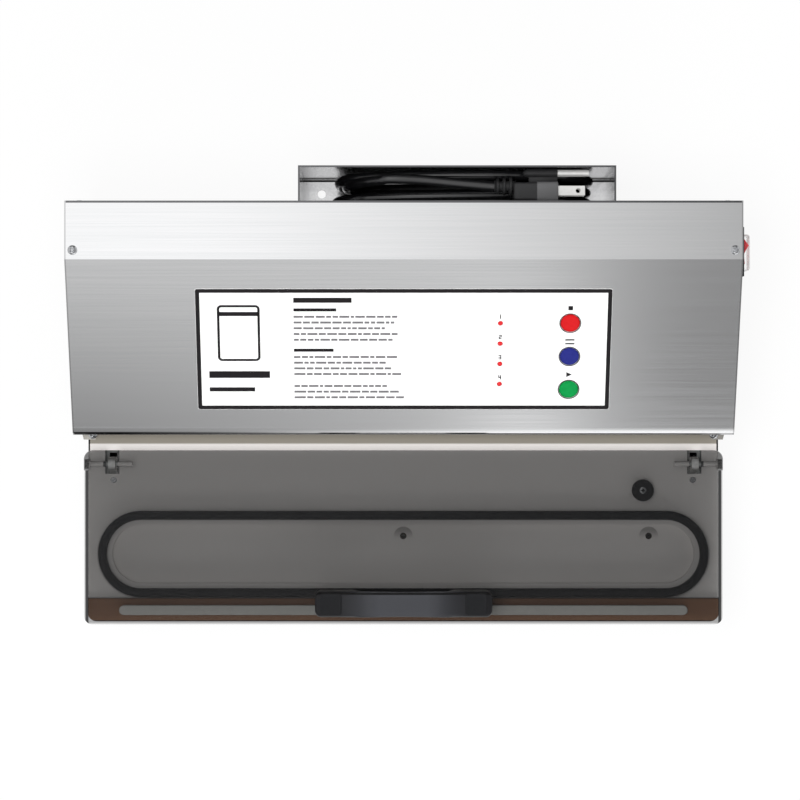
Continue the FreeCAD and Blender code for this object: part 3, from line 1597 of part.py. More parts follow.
hub_sketch = rotor_sketch("hub_sketch", "XZ_Plane", "0")
for i, radius in enumerate(("fan_hub", "fan_pin + running_fit")):
    hub_sketch.addGeometry(Part.Circle(Vector(), AXES["z"], number(radius)))
    hub_sketch.addConstraint(Sketcher.Constraint("Coincident", i, 3, -1, 1))
    index = hub_sketch.addConstraint(Sketcher.Constraint("Radius", i, number(radius)))
    hub_sketch.setExpression(f"Constraints[{index}]", ex(radius))
hub_pad = rotor_body.newObject("PartDesign::Pad", "hub_pad")
hub_pad.Profile = hub_sketch
bind(hub_pad, Length="fan_hub_depth")
blade_sketch = rotor_sketch("blade_sketch", "XY_Plane", "fan_hub - fan_blade_root")
blade_corners = [
    ("-fan_pitch - fan_blade", "-fan_hub_depth + fan_blade_inset"),
    ("-fan_pitch + fan_blade", "-fan_hub_depth + fan_blade_inset"),
    ("fan_pitch + fan_blade", "-fan_blade_inset"),
    ("fan_pitch - fan_blade", "-fan_blade_inset"),
]
corner_count = len(blade_corners)
for i in range(corner_count):
    ends = [Vector(number(u), number(v), 0) for u, v in (blade_corners[i], blade_corners[(i + 1) % corner_count])]
    blade_sketch.addGeometry(Part.LineSegment(*ends))
for i, (u, v) in enumerate(blade_corners):
    blade_sketch.addConstraint(Sketcher.Constraint("Coincident", i, 2, (i + 1) % corner_count, 1))
    for kind, text in (("DistanceX", u), ("DistanceY", v)):
        index = blade_sketch.addConstraint(Sketcher.Constraint(kind, -1, 1, i, 1, number(text)))
        blade_sketch.setExpression(f"Constraints[{index}]", ex(text))
blade_pad = rotor_body.newObject("PartDesign::Pad", "blade_pad")
blade_pad.Profile = blade_sketch
bind(blade_pad, Length="fan_bore - fan_tip_gap - fan_hub + fan_blade_root")
doc.recompute()
blades = rotor_body.newObject("PartDesign::PolarPattern", "blades")
blades.Originals = [blade_pad]
blades.Axis = ([part for part in rotor_body.Origin.OriginFeatures if part.Role == "Y_Axis"][0], [""])
blades.Angle = 360
blades.Occurrences = FAN_BLADES
rotor_body.Tip = blades
node("fan_rotor", at(rotor_body, "fan_side", hub_rear, "fan_level"))

# Cord: elbow grommet, lead, hank of upright loops in three layers, tail and plug

elbow_y = layers[0]
grommet = fuse(
    "grommet",
    rod("grommet_disc", "y", (grommet_x, grommet_z), (rear, f"{rear} + grommet_flange"), "grommet_radius"),
    rod(
        "grommet_stub",
        "y",
        (grommet_x, grommet_z),
        (f"{panel_inside} - grommet_tail", f"{elbow_y} + cord_radius + elbow_cover"),
        "cord_radius + grommet_wall",
    ),
    cone(
        "grommet_sleeve",
        "x",
        (elbow_y, grommet_z),
        (f"{grommet_x} - elbow_length", grommet_x),
        ("cord_radius + sleeve_wall", "cord_radius + sleeve_root"),
    ),
)
node("cord_grommet", grommet)

hank_top = f"({hank_bottom} + hank_height)"
hank_right = f"({hank_left} + hank_width)"
lead_start = f"({grommet_x} - elbow_length)"
lead_route = [
    (lead_start, layers[0], grommet_z),
    (f"({lead_start} * 2 + {lead_end}) / 3", layers[0], grommet_z),
    (f"({lead_start} + {lead_end} * 2) / 3", layers[0], inner_bottom),
    (lead_end, layers[0], inner_bottom),
]
tail_z = f"({hank_top} + tail_rise)"
plug_y = f"({rear} + plug_back)"
tail_end = f"({lead_end} + tail_run)"
tail_route = [
    (lead_end, layers[-1], tail_z),
    (f"{lead_end} + tail_run / 3", layers[-1], tail_z),
    (f"{lead_end} + tail_run * 2 / 3", plug_y, tail_z),
    (tail_end, plug_y, tail_z),
]


def quarter(start, heading, turn_to, radius):
    """Quarter turn from one heading to another at right angles to it."""
    end = start + heading * radius + turn_to * radius
    middle = start + turn_to * radius + (heading - turn_to) * (radius * math.sqrt(0.5))
    return Part.Arc(start, middle, end).toShape(), end


def side_step(start, end, across):
    """Two equal arcs that shift a run sideways without turning its ends."""
    halfway = (start + end) * 0.5
    span = end - start
    radius = span.Length ** 2 / (4 * abs(span.dot(across)))
    way = math.copysign(1, span.dot(across))
    arcs = []
    for first, last, side in ((start, halfway, way), (halfway, end, -way)):
        centre = (first if side == way else last) + across * (side * radius)
        middle = centre + ((first + last) * 0.5 - centre).normalize() * radius
        arcs.append(Part.Arc(first, middle, last).toShape())
    return arcs


def hank_wire():
    """Loops from the inner turn outwards: along the bottom to -X, up, along the top to +X and down."""
    pitch, bend_radius = number("cord_pitch"), number("cord_bend")
    left, right = number(hank_left), number(hank_right)
    bottom, top = number(hank_bottom), number(hank_top)
    ys = [number(layer) for layer in layers]
    east, up = AXES["x"], AXES["z"]
    point = Vector(number(lead_end), ys[0], bottom + pitch)
    corner = bend_radius - pitch
    edges = []

    def line_to(x, z):
        nonlocal point
        target = Vector(x, point.y, z)
        edges.append(Part.LineSegment(point, target).toShape())
        point = target

    def turn(heading, turn_to, radius):
        nonlocal point
        arc, point = quarter(point, heading, turn_to, radius)
        edges.append(arc)

    def step_to(x, y):
        nonlocal point
        target = Vector(x, y, point.z)
        edges.extend(side_step(point, target, AXES["y"]))
        point = target

    # inner turn, its left side and top
    line_to(left + pitch + corner, point.z)
    turn(-east, up, corner)
    line_to(point.x, top - pitch - corner)
    turn(up, east, corner)
    line_to(right - bend_radius, point.z)
    # outer turns, each climbing a layer along its top run
    turn(east, -up, bend_radius)
    for layer_y in ys[1:]:
        line_to(point.x, bottom + bend_radius)
        turn(-up, -east, bend_radius)
        line_to(left + bend_radius, point.z)
        turn(-east, up, bend_radius)
        line_to(point.x, top - bend_radius)
        turn(up, east, bend_radius)
        step_to(right - bend_radius, layer_y)
        turn(east, -up, bend_radius)
    # last half turn, up past the hank to the plug's height
    line_to(point.x, bottom + bend_radius)
    turn(-up, -east, bend_radius)
    line_to(left + bend_radius, point.z)
    turn(-east, up, bend_radius)
    line_to(point.x, number(tail_z) - bend_radius)
    turn(up, east, bend_radius)
    line_to(number(lead_end), point.z)
    return Part.Wire(edges)


def least_gap(wire, radius):
    """Least clear distance of a tube to itself, on points two bends apart along it."""
    count = int(wire.Length / radius)
    points = wire.discretize(count)
    bends_apart = 8 * radius
    apart = int(bends_apart * (count - 1) / wire.Length) + 1
    return min(
        points[i].distanceToPoint(points[j]) for i in range(count) for j in range(i + apart, count)
    ) - 2 * radius


cord_radius = number("cord_radius")
lead_wire, lead_radii = tube_path(points_of(lead_route))
tail_wire, tail_radii = tube_path(points_of(tail_route))
loops = hank_wire()
cord_length = lead_wire.Length + loops.Length + tail_wire.Length
print("cord length", round(cord_length, 1), "hank", round(loops.Length, 1))
print("cord bend radii", [round(radius, 1) for radius in lead_radii + tail_radii])
print("hank least gap", round(least_gap(loops, cord_radius), 2))
node("power_cord_lead", feature("lead_tube", swept(lead_wire, cord_radius)))
node("power_cord_hank", feature("hank_tube", swept(loops, cord_radius)))
node("power_cord_tail", feature("tail_tube", swept(tail_wire, cord_radius)))

plug_rear = f"({tail_end} + plug_neck)"
plug_front = f"({plug_rear} + plug_length)"
neck_ribs = [
    rod(
        f"plug_rib_{i}",
        "x",
        (plug_y, tail_z),
        (
            f"{tail_end} + plug_neck * {i} / {PLUG_RIBS} + rib_lead",
            f"{tail_end} + plug_neck * {i + 1} / {PLUG_RIBS} - rib_trail",
        ),
        f"cord_radius + rib_rise + {i} * rib_step",
    )
    for i in range(PLUG_RIBS)
]
plug_ys = (f"{rear} + plug_front_gap", f"{rear} + plug_front_gap + plug_width")
plug_case = plate(
    "plug_case",
    (plug_rear, plug_front),
    plug_ys,
    (f"{tail_z} - plug_height / 2", f"{tail_z} + plug_height / 2"),
    "plug_corner",
    lambda centre: centre.x < number(f"{plug_rear} + plug_length / 2"),
)
plug_core = rod("plug_core", "x", (plug_y, tail_z), (tail_end, plug_rear), "cord_radius + neck_wall")
blade_y = f"({plug_y} - blade_offset)"
earth_y = f"({blade_y} + earth_reach)"
boss_radius = "(earth_radius + plug_boss_wall)"
boss_span = (f"{plug_front} - plug_boss_length", plug_front)
earth_boss = rod("earth_boss", "x", (earth_y, tail_z), boss_span, boss_radius)
boss_web = block(
    "boss_web", boss_span, (blade_y, earth_y), (f"{tail_z} - {boss_radius}", f"{tail_z} + {boss_radius}")
)
node("plug_body", fuse("plug_piece", plug_case, plug_core, earth_boss, boss_web, *neck_ribs))

blade_pieces = []
for i, way in enumerate((-1, 1)):
    blade_z = f"({tail_z} + {way} * blade_pitch / 2)"
    blade = block(
        f"blade_{i}",
        (plug_front, f"{plug_front} + blade_length"),
        (f"{blade_y} - blade_width / 2", f"{blade_y} + blade_width / 2"),
        (f"{blade_z} - blade_sheet / 2", f"{blade_z} + blade_sheet / 2"),
    )
    hole = rod(
        f"blade_hole_{i}",
        "z",
        (f"{plug_front} + blade_length - blade_hole_back", blade_y),
        (f"{blade_z} - blade_sheet", f"{blade_z} + blade_sheet"),
        "blade_hole_radius",
    )
    blade_pieces.append(cut(f"blade_cut_{i}", blade, hole))
earth_span = (plug_front, f"{plug_front} + earth_length")
blade_pieces.append(rod("earth_pin", "x", (earth_y, tail_z), earth_span, "earth_radius"))
node("plug_blades", group("blade_group", blade_pieces))

# Check every object, then write the pieces

doc.recompute()
failed = [obj.Name for obj in doc.Objects if {"Invalid", "Error"} & set(obj.State)]
for obj in NODES:
    if obj.Shape.isNull() or not obj.Shape.isValid() or not obj.Shape.Solids:
        failed.append(obj.Label)
if failed:
    raise RuntimeError("these objects failed: " + ", ".join(failed))
os.makedirs("parts", exist_ok=True)
for obj in NODES:
    obj.Shape.exportStep(f"parts/{obj.Label}.step")
print(len(NODES), "pieces written")
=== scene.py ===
# %% [markdown]
# # A countertop vacuum sealer, dressed around its CAD frame
# The frame holds every rigid piece at its real size. This lesson adds what a drawing leaves out: the light, the
# finish of each surface, the cord and the moulded or pressed pieces whose rounded forms the eye looks for.
# Lengths are written in millimetres and turned into Blender's metres where a mesh is filled.

# %% Load the frame
import math
import bmesh
import bpy
import numpy as np
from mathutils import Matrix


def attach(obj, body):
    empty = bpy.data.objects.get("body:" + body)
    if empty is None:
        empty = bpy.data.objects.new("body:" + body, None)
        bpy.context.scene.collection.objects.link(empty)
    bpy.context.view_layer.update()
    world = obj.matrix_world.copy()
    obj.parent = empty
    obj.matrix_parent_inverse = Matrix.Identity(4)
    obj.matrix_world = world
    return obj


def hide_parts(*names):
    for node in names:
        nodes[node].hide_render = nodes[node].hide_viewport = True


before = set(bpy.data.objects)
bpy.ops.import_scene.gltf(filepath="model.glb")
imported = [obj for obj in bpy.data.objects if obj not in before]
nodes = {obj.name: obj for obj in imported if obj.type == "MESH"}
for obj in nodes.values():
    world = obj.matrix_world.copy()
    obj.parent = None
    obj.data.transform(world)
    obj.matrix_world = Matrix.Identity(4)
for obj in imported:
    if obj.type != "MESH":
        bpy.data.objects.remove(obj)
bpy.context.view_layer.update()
scene = bpy.context.scene
scene.view_settings.view_transform = "Standard"
MM = 0.001

# %% [markdown]
# ## The camera
# The photograph looks straight down, so the camera needs no turn at all. Its focal length follows from how much
# smaller the deck looks than the housing's top, and a slight shift puts the point under the lens where it was.

# %% Camera
IMAGE = 800
FOCAL_PIXELS = 3467
SENSOR = 36.0
UNDER_LENS = (390.5, 410.0)
EYE = np.array((-8.6, -9.0, 2421.0))

lens = bpy.data.cameras.new("photo_camera")
lens.sensor_width = SENSOR
lens.lens = FOCAL_PIXELS * SENSOR / IMAGE
lens.shift_x = (IMAGE / 2 - UNDER_LENS[0]) / IMAGE
lens.shift_y = (UNDER_LENS[1] - IMAGE / 2) / IMAGE
camera = bpy.data.objects.new("photo_camera", lens)
camera.location = EYE * MM
scene.collection.objects.link(camera)
scene.camera = camera
print("lens", round(lens.lens, 1), "mm, shift", round(lens.shift_x, 4), round(lens.shift_y, 4))

# %% [markdown]
# ## Colours and nodes
# Paint charts and screens give colours as sRGB hex values, while a shader counts light, so one function turns the
# first into the second. Another adds a node with its settings and links. Materials could be drawn by hand in the node
# editor, but in code each one stays readable and gives the same result every time.

# %% Colour and node helpers
def srgb(code):
    """Linear RGBA of an sRGB hex value: a straight foot near black, a power of 2.4 above it."""
    part = np.array([int(code[i:i + 2], 16) for i in (1, 3, 5)]) / 255
    linear = np.where(part <= 0.04045, part / 12.92, ((part + 0.055) / 1.055) ** 2.4)
    return (*linear.tolist(), 1.0)


def add(tree, kind, inputs, **settings):
    """Outputs of a new node: settings are its properties, inputs the values or links of its sockets."""
    made = tree.nodes.new("ShaderNode" + kind)
    for key, value in settings.items():
        setattr(made, key, value)
    for socket, value in inputs.items() if isinstance(inputs, dict) else enumerate(inputs):
        if isinstance(value, bpy.types.NodeSocket):
            tree.links.new(value, made.inputs[socket])
        else:
            made.inputs[socket].default_value = value
    return made.outputs


# sockets of a Mix node: the share, two numbers, two colours, and the output of the colours
SHARE, NUMBER_A, NUMBER_B, COLOUR_A, COLOUR_B, COLOUR_OUT = 0, 2, 3, 6, 7, 2
print("white is", srgb("#FFFFFF"))

# %% [markdown]
# ## A finish
# Rolled, moulded and drawn surfaces are never one flat tone. A finish here drifts between two close tones over its
# grain, the roughness drifts with it, and a low bump follows the same grain. A picture of a surface could give that
# too, but a noise has no seams and no end. Its grain can be stretched, which turns specks into brush lines.

# %% The finish function
NOISE_DETAIL, NOISE_SPAN = 3.0, (0.3, 0.7)


def finish(name, tones, grain, roughness, bump=0.0, stretch=(1, 1, 1), **sockets):
    """A material whose tone and roughness follow a noise of the given grain, in mm, stretched along X, Y and Z."""
    made = bpy.data.materials.new(name)
    made.use_nodes = True
    tree = made.node_tree
    shader = tree.nodes["Principled BSDF"]
    for socket, value in sockets.items():
        shader.inputs[socket.replace("_", " ")].default_value = value
    place = add(tree, "TexCoord", {})["Object"]
    scale = 1 / (grain * MM * np.array(stretch, float))
    sized = add(tree, "Mapping", {"Vector": place, "Scale": scale})[0]
    noise = add(tree, "TexNoise", {"Vector": sized, "Scale": 1.0, "Detail": NOISE_DETAIL})["Fac"]
    spread = add(tree, "MapRange", (noise, *NOISE_SPAN))[0]
    pair = {SHARE: spread, COLOUR_A: srgb(tones[0]), COLOUR_B: srgb(tones[1])}
    tone = add(tree, "Mix", pair, data_type="RGBA")[COLOUR_OUT]
    rough = add(tree, "Mix", {SHARE: spread, NUMBER_A: roughness[0], NUMBER_B: roughness[1]})[0]
    tree.links.new(tone, shader.inputs["Base Color"])
    tree.links.new(rough, shader.inputs["Roughness"])
    if bump:
        raised = add(tree, "Bump", {"Height": noise, "Distance": bump * MM})[0]
        tree.links.new(raised, shader.inputs["Normal"])
    return made


print("a finish passes between its tones while the noise passes between", *NOISE_SPAN)

# %% [markdown]
# ## The metals
# The case is stainless sheet, brushed along its length. Real brush lines are a tenth of a millimetre wide. They are
# drawn here about a millimetre wide and twelve centimetres long, because finer ones would vanish in the picture.

# %% Metals
looks = {}
# brushed stainless sheet: a soft mirror that smears reflections and shows faint lines along the case
BRUSHED = dict(grain=0.9, roughness=(0.09, 0.12), bump=0.0002, stretch=(140, 1, 1), Metallic=1.0)
looks["stainless_steel"] = finish("brushed_stainless", ("#E9E9EA", "#E3E4E5"), **BRUSHED)
# the same sheet on the cover, whose fold and edges carry painted shade of their own
looks["cover_steel"] = finish("brushed_cover", ("#E9E9EA", "#E3E4E5"), **BRUSHED)
# mill finish of the bin, a little greyer than the case
looks["bin_steel"] = finish("mill_stainless", ("#D6D6D7", "#CDCDCE"), 1.2, (0.1, 0.15), 0.0003, Metallic=1.0)
# the side plates: the same sheet brushed from front to back, a little warmer and duller
looks["side_steel"] = finish(
    "plain_stainless", ("#BAB7B1", "#B2AFA9"), 0.9, (0.22, 0.28), 0.0002, (1, 140, 1), Metallic=1.0
)
# satin stainless of the deck: the same sheet ground in all directions, which spreads light evenly
looks["satin_steel"] = finish("satin_stainless", ("#EEEBE8", "#E8E5E2"), 0.8, (0.44, 0.52), 0.001, Metallic=0.2)
# zinc plated hinge brackets: grey and dull
looks["zinc_steel"] = finish("zinc_plate", ("#8C8C8B", "#7D7D7C"), 2.0, (0.4, 0.52), 0.002, Metallic=0.8)
# polished stainless screws: small bright mirrors with handling marks
looks["screw_steel"] = finish("polished_stainless", ("#D9DADC", "#C2C4C7"), 1.5, (0.06, 0.12), Metallic=1.0)
# nickel plated steel: a little yellow, smooth, dulled in patches
looks["nickel_steel"] = finish("nickel_plate", ("#C9C5BC", "#B5B1A8"), 4.0, (0.2, 0.34), Metallic=1.0)
# cast and milled aluminium: pale, matt and slightly mottled
looks["aluminium"] = finish("milled_aluminium", ("#C6C8CA", "#AFB1B4"), 1.6, (0.32, 0.46), 0.004, Metallic=1.0)
# port fittings: dark brown and dull
looks["dark_brass"] = finish("dark_port_brass", ("#4C4842", "#3B3833"), 1.2, (0.45, 0.6), Metallic=0.6)
# turned brass fittings
looks["brass"] = finish("turned_brass", ("#C9A55A", "#B08A45"), 1.2, (0.22, 0.36), Metallic=1.0)
# plug blades: nickel plated brass, bright and lightly scratched
looks["nickel_brass"] = finish("plated_blades", ("#FBFBF9", "#F0EFEC"), 2.0, (0.12, 0.22), Metallic=0.6)
# stacked electrical sheets: half a millimetre each, drawn twice as thick so that the layers show
looks["lamination_steel"] = finish(
    "stacked_sheets", ("#6E7076", "#45474C"), 1.0, (0.35, 0.55), 0.05, (1, 60, 60), Metallic=0.8
)
# enamelled copper winding: a wire of a millimetre lying round the coil
looks["copper_wire"] = finish(
    "enamelled_copper", ("#A8582C", "#7A3A1C"), 1.0, (0.22, 0.35), 0.15, (60, 60, 1), Metallic=0.9
)
print("metals:", ", ".join(sorted(looks)))

# %% [markdown]
# ## Rubber, plastics and the board
# Each takes its tone from the photograph and its roughness from how the thing is made: rubber is matt with talc in
# its pores, moulded nylon has a fine spark-eroded texture, and flexible vinyl is glossy.

# %% Plastics
# moulded rubber: dull black with a faint bloom
looks["black_rubber"] = finish("moulded_rubber", ("#141415", "#1F1F20"), 0.8, (0.6, 0.8), 0.02)
# pale silicone: soft, milky and slightly waxy
looks["grey_silicone"] = finish("pale_silicone", ("#D3D3CE", "#CCCCC7"), 3.0, (0.5, 0.6), 0.004)
# moulded nylon: black with a satin, finely pitted skin
looks["black_nylon"] = finish(
    "moulded_nylon", ("#131315", "#1B1C1E"), 0.5, (0.4, 0.52), 0.012, Specular_IOR_Level=0.2
)
# the handle's nylon, with a painted sheen along the grip
looks["nylon_painted_sheen"] = finish(
    "nylon_painted_sheen", ("#111113", "#19191B"), 0.6, (0.36, 0.48), 0.012, Specular_IOR_Level=0.25
)
# the plug's vinyl, paler on the grained grip at its front
looks["plug_vinyl"] = finish("plug_vinyl", ("#232324", "#2C2C2D"), 0.7, (0.4, 0.55), 0.01)
# screen printed polyester film over the panel: white and faintly satin
looks["printed_overlay"] = finish(
    "polyester_film", ("#FDFDFD", "#FAFAFA"), 6.0, (0.45, 0.55), 0.001, Specular_IOR_Level=0.2
)
# silicone keys under the film, in the three colours of the controls
looks["red_button"] = finish("red_key", ("#D01A1F", "#C6171B"), 2.0, (0.4, 0.5), 0.004, Specular_IOR_Level=0.15)
looks["blue_button"] = finish("blue_key", ("#272D80", "#232877"), 2.0, (0.4, 0.5), 0.004, Specular_IOR_Level=0.15)
looks["green_button"] = finish("green_key", ("#059648", "#048B41"), 2.0, (0.4, 0.5), 0.004, Specular_IOR_Level=0.15)
# lamp windows and rocker: clear red styrene and glossy red nylon
looks["red_lens"] = finish("red_styrene", ("#E3242B", "#D21D24"), 1.0, (0.15, 0.25), 0.001)
looks["red_rocker"] = finish("red_nylon", ("#E5202A", "#D61A23"), 2.0, (0.2, 0.3), 0.002)
# brown glass cloth with a slippery coating: a fine weave, drawn a millimetre and a half across
looks["brown_ptfe"] = finish("coated_glass_cloth", ("#906B52", "#846149"), 1.5, (0.45, 0.58), 0.02)
# circuit board: green lacquer over copper
looks["green_board"] = finish("green_lacquer", ("#1F6B3A", "#18552E"), 2.5, (0.25, 0.4), 0.01)
# valve and switch cases: grey moulded polyester
looks["grey_plastic"] = finish("grey_polyester", ("#8C8F92", "#7C7F82"), 0.8, (0.4, 0.55), 0.01)
# cord sheath and plug: flexible vinyl, black and glossy
looks["black_pvc"] = finish(
    "flexible_vinyl", ("#111112", "#18181A"), 1.2, (0.12, 0.2), 0.003, Specular_IOR_Level=1.0
)
# air hoses: milky silicone tube
looks["clear_hose"] = finish("milky_silicone", ("#D9DBD6", "#C9CCC6"), 3.0, (0.25, 0.38), 0.003, Alpha=0.8)
# splash boot: clear soft vinyl, mostly seen by its gloss
looks["clear_vinyl"] = finish("clear_vinyl", ("#EDEEEE", "#E2E3E4"), 3.0, (0.1, 0.2), 0.01)
tree = looks["clear_vinyl"].node_tree
# the boot's pale tone shows more where the film is seen edge-on, a painted sheen
tilt = add(tree, "LayerWeight", {"Blend": 0.5})["Facing"]
film = add(tree, "MapRange", (tilt, 0.2, 1.0, 0.03, 0.5))[0]
tree.links.new(film, tree.nodes["Principled BSDF"].inputs["Alpha"])
print(len(looks), "finishes")

# %% [markdown]
# ## Painted shade and sheen
# Some surfaces change tone with how light falls on them, and here that is painted into their colour: painted shade
# darkens edges, creases and the deck's margin under the housing, and a painted sheen lightens the handle in its middle.
# Such places could be painted on a picture, but a zone needs none: it blends the finish into another tone where the
# place lies past limits on its axes.

# %% Zones
def tint(look, tone, share):
    """Blends a finish into another tone by a share from its own tree."""
    tree = looks[look].node_tree
    shader = tree.nodes["Principled BSDF"]
    before = shader.inputs["Base Color"].links[0].from_socket
    pair = {SHARE: share, COLOUR_A: before, COLOUR_B: srgb(tone)}
    after = add(tree, "Mix", pair, data_type="RGBA")[COLOUR_OUT]
    tree.links.new(after, shader.inputs["Base Color"])


def shade_zone(look, tone, mirrored=False, **spans):
    """Tints a finish where each axis lies past its limits: pairs of start and end, in mm."""
    tree = looks[look].node_tree
    places = add(tree, "SeparateXYZ", (add(tree, "TexCoord", {})["Object"],))
    share = 1.0
    for axis, limits in spans.items():
        along = places[axis]
        if mirrored and axis == "X":
            along = add(tree, "Math", (along,), operation="ABSOLUTE")[0]
        for start, end in zip(limits[::2], limits[1::2]):
            past = add(tree, "MapRange", (along, start * MM, end * MM))[0]
            share = add(tree, "Math", (past, share), operation="MULTIPLY")[0]
    tint(look, tone, share)


def shade_dish(look, tone, x, y, radius):
    """Paints shade on the rear half of a round dish: its share fades at the radius and across the middle, in mm."""
    tree = looks[look].node_tree
    place = add(tree, "TexCoord", {})["Object"]
    flat = add(tree, "VectorMath", (place, (1, 1, 0)), operation="MULTIPLY")["Vector"]
    away = add(tree, "VectorMath", (flat, (x * MM, y * MM, 0)), operation="DISTANCE")["Value"]
    inside = add(tree, "MapRange", (away, (radius + 0.3) * MM, (radius - 0.3) * MM))[0]
    along = add(tree, "SeparateXYZ", (place,))["Y"]
    behind = add(tree, "MapRange", (along, (y - 2) * MM, (y + 4) * MM))[0]
    tint(look, tone, add(tree, "Math", (inside, behind), operation="MULTIPLY")[0])


# tone of the painted dark lines where edges and corners turn away from the light
EDGE_SHADE = "#101011"
# deck: painted light on the bare strip, painted shade on its rear margin under the lip and in the hinge notches, and
# painted dark lines along its sides beside the strip
shade_zone("satin_steel", "#FFFAF7", Y=(-36.6, -36.2))
shade_zone("satin_steel", "#9E988D", Y=(-32.2, -31.2))
shade_zone("satin_steel", "#5E605F", mirrored=True, X=(191.0, 191.4, 201.0, 200.6), Y=(-52.2, -51.8, -36.0, -36.2))
shade_zone("satin_steel", EDGE_SHADE, mirrored=True, X=(210.8, 211.0), Y=(-36.8, -36.4))
# suction ports: painted shade on the rear half of the dish round each
PORT_XS, PORT_Y, DISH_RADIUS = (0.0, 165.8), -94.1, 6.4
for port_x in PORT_XS:
    shade_dish("satin_steel", "#AFADAA", port_x, PORT_Y, DISH_RADIUS)
# cover: painted shade on the fold at its foot, stronger to the left, and along its rear and side edges
shade_zone("cover_steel", "#3A3A3B", X=(-60.0, -190.0), Y=(-23.4, -23.8), Z=(108.0, 109.0))
shade_zone("cover_steel", "#6E6E70", Y=(125.2, 125.4))
shade_zone("cover_steel", "#C0C0C1", mirrored=True, X=(218.9, 219.3))
# bin: painted shade in the crease along the foot of its rear wall, and a painted dark line round the top edge
shade_zone("bin_steel", "#050505", Y=(149.4, 149.6))
shade_zone("bin_steel", "#D2D2D3", Y=(150.9, 151.0))
shade_zone("bin_steel", "#6A6A6C", Z=(135.4, 135.6))
# tape: painted shade along its front top corner and a painted shadow line along its rear edge
shade_zone("brown_ptfe", EDGE_SHADE, Y=(-150.3, -150.5), Z=(89.7, 89.8))
shade_zone("brown_ptfe", EDGE_SHADE, Y=(-135.9, -135.7))
# handle: a painted sheen in its middle and a painted shade line along the rear of the grip; plug paler on its grip
shade_zone("nylon_painted_sheen", "#3C3D41", mirrored=True, X=(44.0, 16.0))
shade_zone("nylon_painted_sheen", "#020202", Y=(-130.8, -130.5, -129.3, -129.6), Z=(133.0, 134.0))
shade_zone("plug_vinyl", "#636364", X=(88.0, 88.3), Y=(142.4, 142.0))
print("zones on the deck, ports, cover, bin, tape, handle and plug")

# %% [markdown]
# ## The smoked lid
# The lid is cast acrylic with a grey dye: about two fifths of the light passes on each way through. Real refraction
# could show that, but a see-through alpha gives it with little noise. At the polished edges the dye fades out, so the
# edge shows pale as a painted reflection, and a dark line just inside it is painted shade from the edge's refraction.

# %% Smoked acrylic
LID_SIDE, LID_FRONT, EDGE_FADE = 212.1, 151.4, 0.6
SIDE_LINE, LINE_FADE, EAR_FRONT, LINE_LOW = 210.1, 0.2, -49.5, 100.0
CLEAR_EDGE, DYED, DARK_LINE, EAR = 0.12, 0.38, 0.94, 0.58

smoked = finish("smoked_acrylic", ("#151516", "#1B1B1C"), 5.0, (0.06, 0.1), 0.0, Specular_IOR_Level=0.2)
tree = smoked.node_tree
places = add(tree, "SeparateXYZ", (add(tree, "TexCoord", {})["Object"],))
side = add(tree, "Math", (places["X"],), operation="ABSOLUTE")[0]
# what is measured, and between which values the lid passes into that place, in mm
EDGES = {
    "ear": (places["Y"], EAR_FRONT, EAR_FRONT + EDGE_FADE),
    "side": (side, LID_SIDE, LID_SIDE + EDGE_FADE),
    "front": (places["Y"], -LID_FRONT, -LID_FRONT - EDGE_FADE),
    "margin": (side, SIDE_LINE, SIDE_LINE + LINE_FADE),
    "top": (places["Z"], LINE_LOW, LINE_LOW + 1),
}
past = {name: add(tree, "MapRange", (axis, low * MM, high * MM))[0] for name, (axis, low, high) in EDGES.items()}
rim = add(tree, "Math", (past["side"], past["front"]), operation="MAXIMUM")[0]
lined = add(tree, "Math", (past["margin"], past["top"]), operation="MULTIPLY")[0]
eared = add(tree, "Math", (past["margin"], past["ear"]), operation="MULTIPLY")[0]
# the pale edge and the dark line inside it are a painted reflection and painted shade of the polished edge
dye = add(tree, "Mix", {SHARE: rim, NUMBER_A: DYED, NUMBER_B: CLEAR_EDGE})[0]
line = add(tree, "Mix", {SHARE: lined, NUMBER_A: DYED, NUMBER_B: DARK_LINE})[0]
margin = add(tree, "Mix", {SHARE: past["side"], NUMBER_A: line, NUMBER_B: dye})[0]
dye = add(tree, "Mix", {SHARE: past["margin"], NUMBER_A: dye, NUMBER_B: margin})[0]
dye = add(tree, "Mix", {SHARE: eared, NUMBER_A: dye, NUMBER_B: EAR})[0]
tree.links.new(dye, tree.nodes["Principled BSDF"].inputs["Alpha"])
looks["smoked_acrylic"] = smoked
print("lid lets through", round((1 - DYED) ** 2, 2), "of the light")

# %% [markdown]
# ## Dressing the frame
# Each CAD node names the slot that it takes its finish from. Every object could be given its material by hand, but one
# loop dresses the whole frame, and a short table holds the few sheets that have a finish of their own.

# %% Dress the CAD nodes
OWN_LOOKS = {name: "satin_steel" for name in ("deck_plate", "vacuum_trough", "hinge_pins")}
OWN_LOOKS |= {"housing_cover": "cover_steel", "cord_bin": "bin_steel", "port_fittings": "dark_brass"}
OWN_LOOKS |= {f"side_panel_{side}": "side_steel" for side in ("left", "right")}
OWN_LOOKS |= {f"hinge_bracket_{side}": "zinc_steel" for side in ("left", "right")}
for name, node in sorted(nodes.items()):
    for holder in node.material_slots:
        holder.material = looks[OWN_LOOKS.get(name, holder.material.name.split(".")[0])]
print("dressed", len(nodes), "nodes")

# %% [markdown]
# ## Surfaces from grids
# Every new piece is a grid of points: rings that follow one another, closed round, and either looped back to the
# first ring or capped at both ends. A ring is a circle or a rounded rectangle, and a list of ring sizes and heights
# makes a button, a foot or a plug. Modelling by hand could do the same, but a formula says why a shape is as it is.
# Whole arrays are worked out at once and handed to the mesh.

# %% Grid helpers
SHARP = math.radians(35)


def turned(profile, count=48):
    """Rings about Z from a profile of radius and height: x = r cos a, y = r sin a, z = height."""
    radius, height = np.array(profile, float).T
    angle = np.linspace(0, 2 * np.pi, count, endpoint=False)
    return np.stack(
        [np.outer(radius, np.cos(angle)), np.outer(radius, np.sin(angle)), np.outer(height, np.ones(count))], -1
    )


